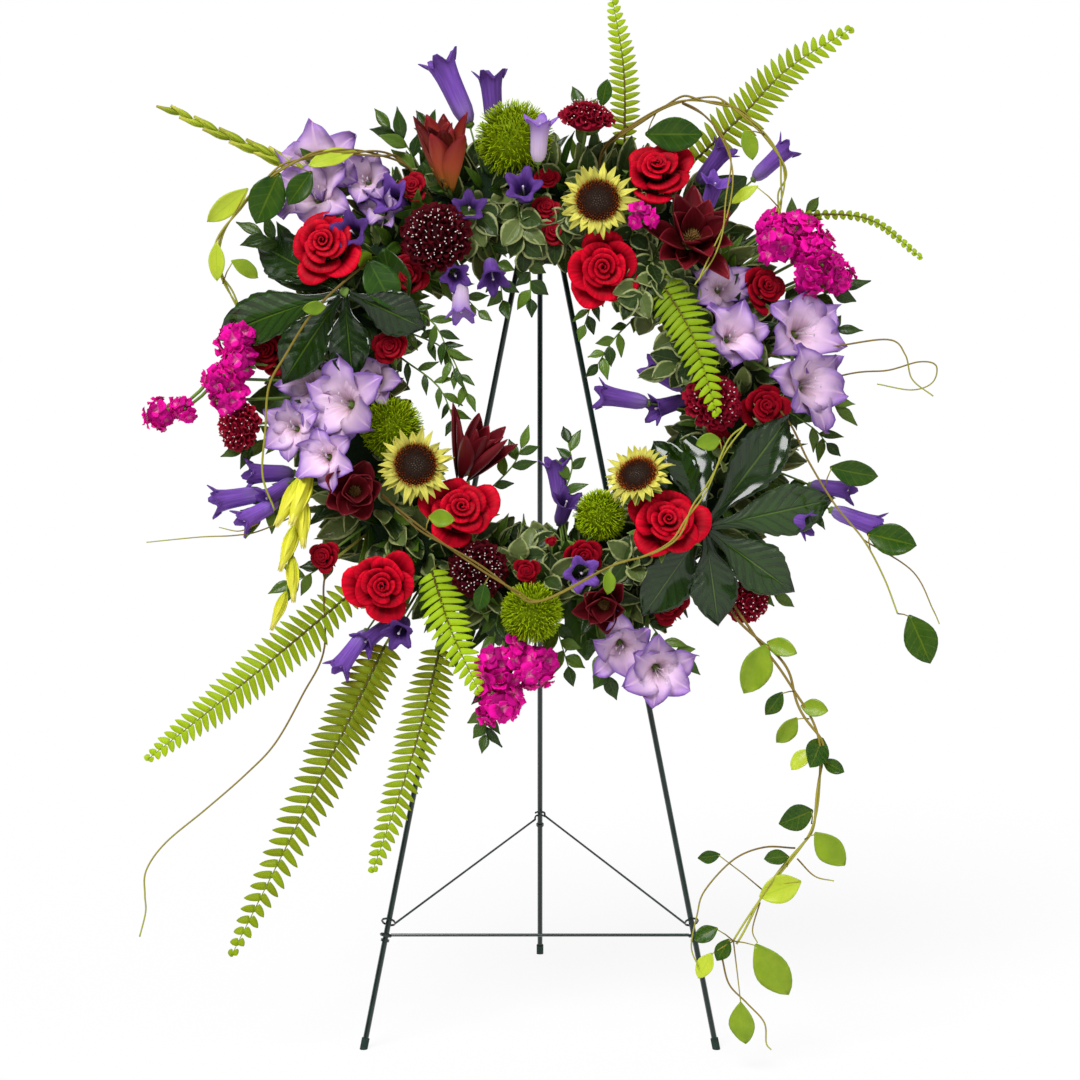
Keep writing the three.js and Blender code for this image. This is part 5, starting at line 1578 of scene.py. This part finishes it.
class WREATH_OT_vines(bpy.types.Operator):
    """Makes the trailing and arching vines with their leaves"""

    bl_idname = "wreath.vines"
    bl_label = "Vines"

    def execute(self, context):
        for k, rng, bm, (node, (strands, leaves)) in numbered(VINES.items(), 1200):
            for points, radius, stems in strands:
                vine_stem(bm, points, radius, rng, stems)
            root(bm, strands[0][0][0], 1.8, 1.6)
            if leaves:
                hang_leaves(bm, strands[0][0], leaves, rng, node == "arching_vine")
            for strand, more in LOOSE_LEAVES if node is None else ():
                hang_leaves(bm, strands[strand][0], more, rng, strand == 2)
            finish_piece(
                bm, f"vine_{k}", "vine_leaves", ("vine", "twig"), node,
                context.scene.wreath_greens.leaf_thickness / MM,
            )
        return {"FINISHED"}


class WREATH_OT_pittosporum(bpy.types.Operator):
    """Tucks variegated pittosporum and dark filler leaves all round the foam"""

    bl_idname = "wreath.pittosporum"
    bl_label = "Pittosporum and filler"

    def execute(self, context):
        greens = context.scene.wreath_greens
        thickness = greens.leaf_thickness / MM
        for k, rng, bm, (node, (first, last, reach, lift)) in numbered(PITTOSPORUMS.items(), 1300):
            for j in range(9):
                clock = first + (last - first) * (j + rng.random()) / 9
                start = on_ring(clock, RING_RADIUS, FOAM_FRONT - 10)
                tip = on_ring(clock + rng.uniform(-12, 12), reach + rng.uniform(-25, 25), lift + rng.uniform(10, 40))
                knee = start.lerp(tip, 0.5) + Vector((0, 0, 20))
                sprig(bm, rng, [start, knee, tip], 32, 11.5, (0.0, 0.9), 9, OVATE)
            finish_piece(bm, f"variegated_sprigs_{k}", "pittosporum_leaves", ("pittosporum", "stem"), node, thickness)
        bm = new_piece()
        rng = random.Random(1340)
        for points, length, half in SPRIGS:
            if abs(points[-1][0]) > EDGE_X or points[-1][1] > TOP_UP:
                points = [Vector(points[0]).lerp(Vector(point), DRAWN_IN) for point in points]
            root(bm, points[0], 1.2, 1.1, 5)
            sprig(bm, rng, points, length, half, (0.1, 1.0), 10, POINTED)
        finish_piece(bm, "narrow_leaf_sprigs", "pittosporum_leaves", ("ruscus", "stem"), None, thickness)
        for k, rng, bm, name in numbered(("pittosporum", "ruscus"), 1350):
            for _ in range(greens.filler_leaves // 2):
                tuck_leaf(bm, rng, name == "ruscus")
            finish_piece(bm, f"filler_leaves_{k}", "pittosporum_leaves", (name, "stem"), None, thickness)
        return {"FINISHED"}


def make_surround(scene, stage):
    """A world that lights the wreath a little from all sides and that the camera sees white."""
    world = bpy.data.worlds.new("White surround")
    scene.world = world
    world.use_nodes = True
    tree = world.node_tree
    lit = tree.nodes["Background"]
    seen = tree.nodes.new("ShaderNodeBackground")
    for background, strength in ((lit, stage.ambient), (seen, stage.surround)):
        background.inputs["Color"].default_value = (1, 1, 1, 1)
        background.inputs["Strength"].default_value = strength
    swap = tree.nodes.new("ShaderNodeMixShader")
    to_camera = tree.nodes.new("ShaderNodeLightPath").outputs["Is Camera Ray"]
    for socket, source in zip(swap.inputs, (to_camera, lit.outputs[0], seen.outputs[0])):
        tree.links.new(source, socket)
    tree.links.new(swap.outputs[0], tree.nodes["World Output"].inputs["Surface"])


def hang_suns(scene, stage):
    """Three soft suns. Returns the light that a level floor gets."""
    floor_light = stage.ambient
    suns = (
        ("Key", stage.key_light, (40, 0, -28), 30), ("Fill", stage.fill_light, (56, 0, 52), 70),
        ("Rim", stage.rim_light, (-38, 0, 15), 60),
    )
    for name, strength, turn, softness in suns:
        light = bpy.data.lights.new(name, "SUN")
        light.energy = strength
        light.angle = math.radians(softness)
        sun = bpy.data.objects.new(name, light)
        sun.rotation_euler = [math.radians(a) for a in turn]
        scene.collection.objects.link(sun)
        floor_light += strength * math.cos(sun.rotation_euler.x) / math.pi
    return floor_light


def lay_floor(scene, stage, floor_light):
    """A floor as bright as the surround. Most of that is its own glow, and the rest takes the shadows."""
    grey = min(0.97, stage.surround / floor_light) * (1 - stage.floor_glow)
    paper = Nodes("Pale floor")
    speckle = paper.object_noise(3.0)
    tint = paper.ramp(speckle, [(0.0, (grey * 0.998,) * 3), (1.0, (grey * 1.002,) * 3)])
    settings = {
        "Roughness": 1.0, "Specular IOR Level": 0.0, "Emission Color": (1, 1, 1, 1),
        "Emission Strength": stage.surround * stage.floor_glow,
    }
    bm = bmesh.new()
    bmesh.ops.create_grid(bm, x_segments=2, y_segments=2, size=FLOOR_REACH)
    mesh = bpy.data.meshes.new("Floor")
    bm.to_mesh(mesh)
    bm.free()
    mesh.materials.append(paper.finish(tint, settings))
    floor = bpy.data.objects.new("Floor", mesh)
    scene.collection.objects.link(floor)


def set_camera(scene, stage):
    """A camera in front of the middle of the front feet's line."""
    camera = bpy.data.cameras.new("Camera")
    camera.lens = stage.lens
    camera.sensor_width = SENSOR_WIDTH
    eye = bpy.data.objects.new("Camera", camera)
    shift = PIN_MIDDLE - PIVOT * MM
    eye.location = shift + Vector((0, -FEET_FORWARD * MM - stage.camera_distance, stage.camera_height))
    eye.rotation_euler = (math.pi / 2 - stage.camera_pitch, 0, 0)
    scene.collection.objects.link(eye)
    scene.camera = eye
    scene.view_settings.view_transform = "Standard"
    scene.view_settings.look = "None"


class WREATH_OT_stage(bpy.types.Operator):
    """Lays the floor and sets the light and the camera"""

    bl_idname = "wreath.stage"
    bl_label = "Stage"

    def execute(self, context):
        scene = context.scene
        stage = scene.wreath_stage
        make_surround(scene, stage)
        lay_floor(scene, stage, hang_suns(scene, stage))
        set_camera(scene, stage)
        return {"FINISHED"}


OPERATORS = (
    WREATH_OT_easel, WREATH_OT_foam, WREATH_OT_roses, WREATH_OT_spray_roses, WREATH_OT_sunflowers,
    WREATH_OT_scabious, WREATH_OT_leucadendrons, WREATH_OT_dianthus, WREATH_OT_gladioli, WREATH_OT_stocks,
    WREATH_OT_bellflowers, WREATH_OT_ferns, WREATH_OT_aralias, WREATH_OT_vines, WREATH_OT_pittosporum,
    WREATH_OT_stage,
)


class WREATH_PT_panel(bpy.types.Panel):
    """Sizes, colours and pieces of the wreath"""

    bl_idname = "WREATH_PT_panel"
    bl_label = "Standing Wreath"
    bl_space_type = "VIEW_3D"
    bl_region_type = "UI"
    bl_category = "Wreath"

    def draw(self, context):
        for name, _ in GROUPS:
            box = self.layout.box()
            group = getattr(context.scene, name)
            for key in group.__annotations__:
                box.prop(group, key)
        for operator in OPERATORS:
            self.layout.operator(operator.bl_idname)


GROUPS = (
    ("wreath_blooms", WreathBlooms), ("wreath_greens", WreathGreens), ("wreath_easel", WreathEasel),
    ("wreath_stage", WreathStage),
)


def register():
    for name, group in GROUPS:
        bpy.utils.register_class(group)
        setattr(bpy.types.Scene, name, PointerProperty(type=group))
    for cls in (*OPERATORS, WREATH_PT_panel):
        bpy.utils.register_class(cls)


def unregister():
    for cls in (WREATH_PT_panel, *reversed(OPERATORS)):
        bpy.utils.unregister_class(cls)
    for name, group in reversed(GROUPS):
        delattr(bpy.types.Scene, name)
        bpy.utils.unregister_class(group)


def main():
    register()
    for operator in OPERATORS:
        family, name = operator.bl_idname.split(".")
        getattr(getattr(bpy.ops, family), name)()


if __name__ == "__main__":
    main()
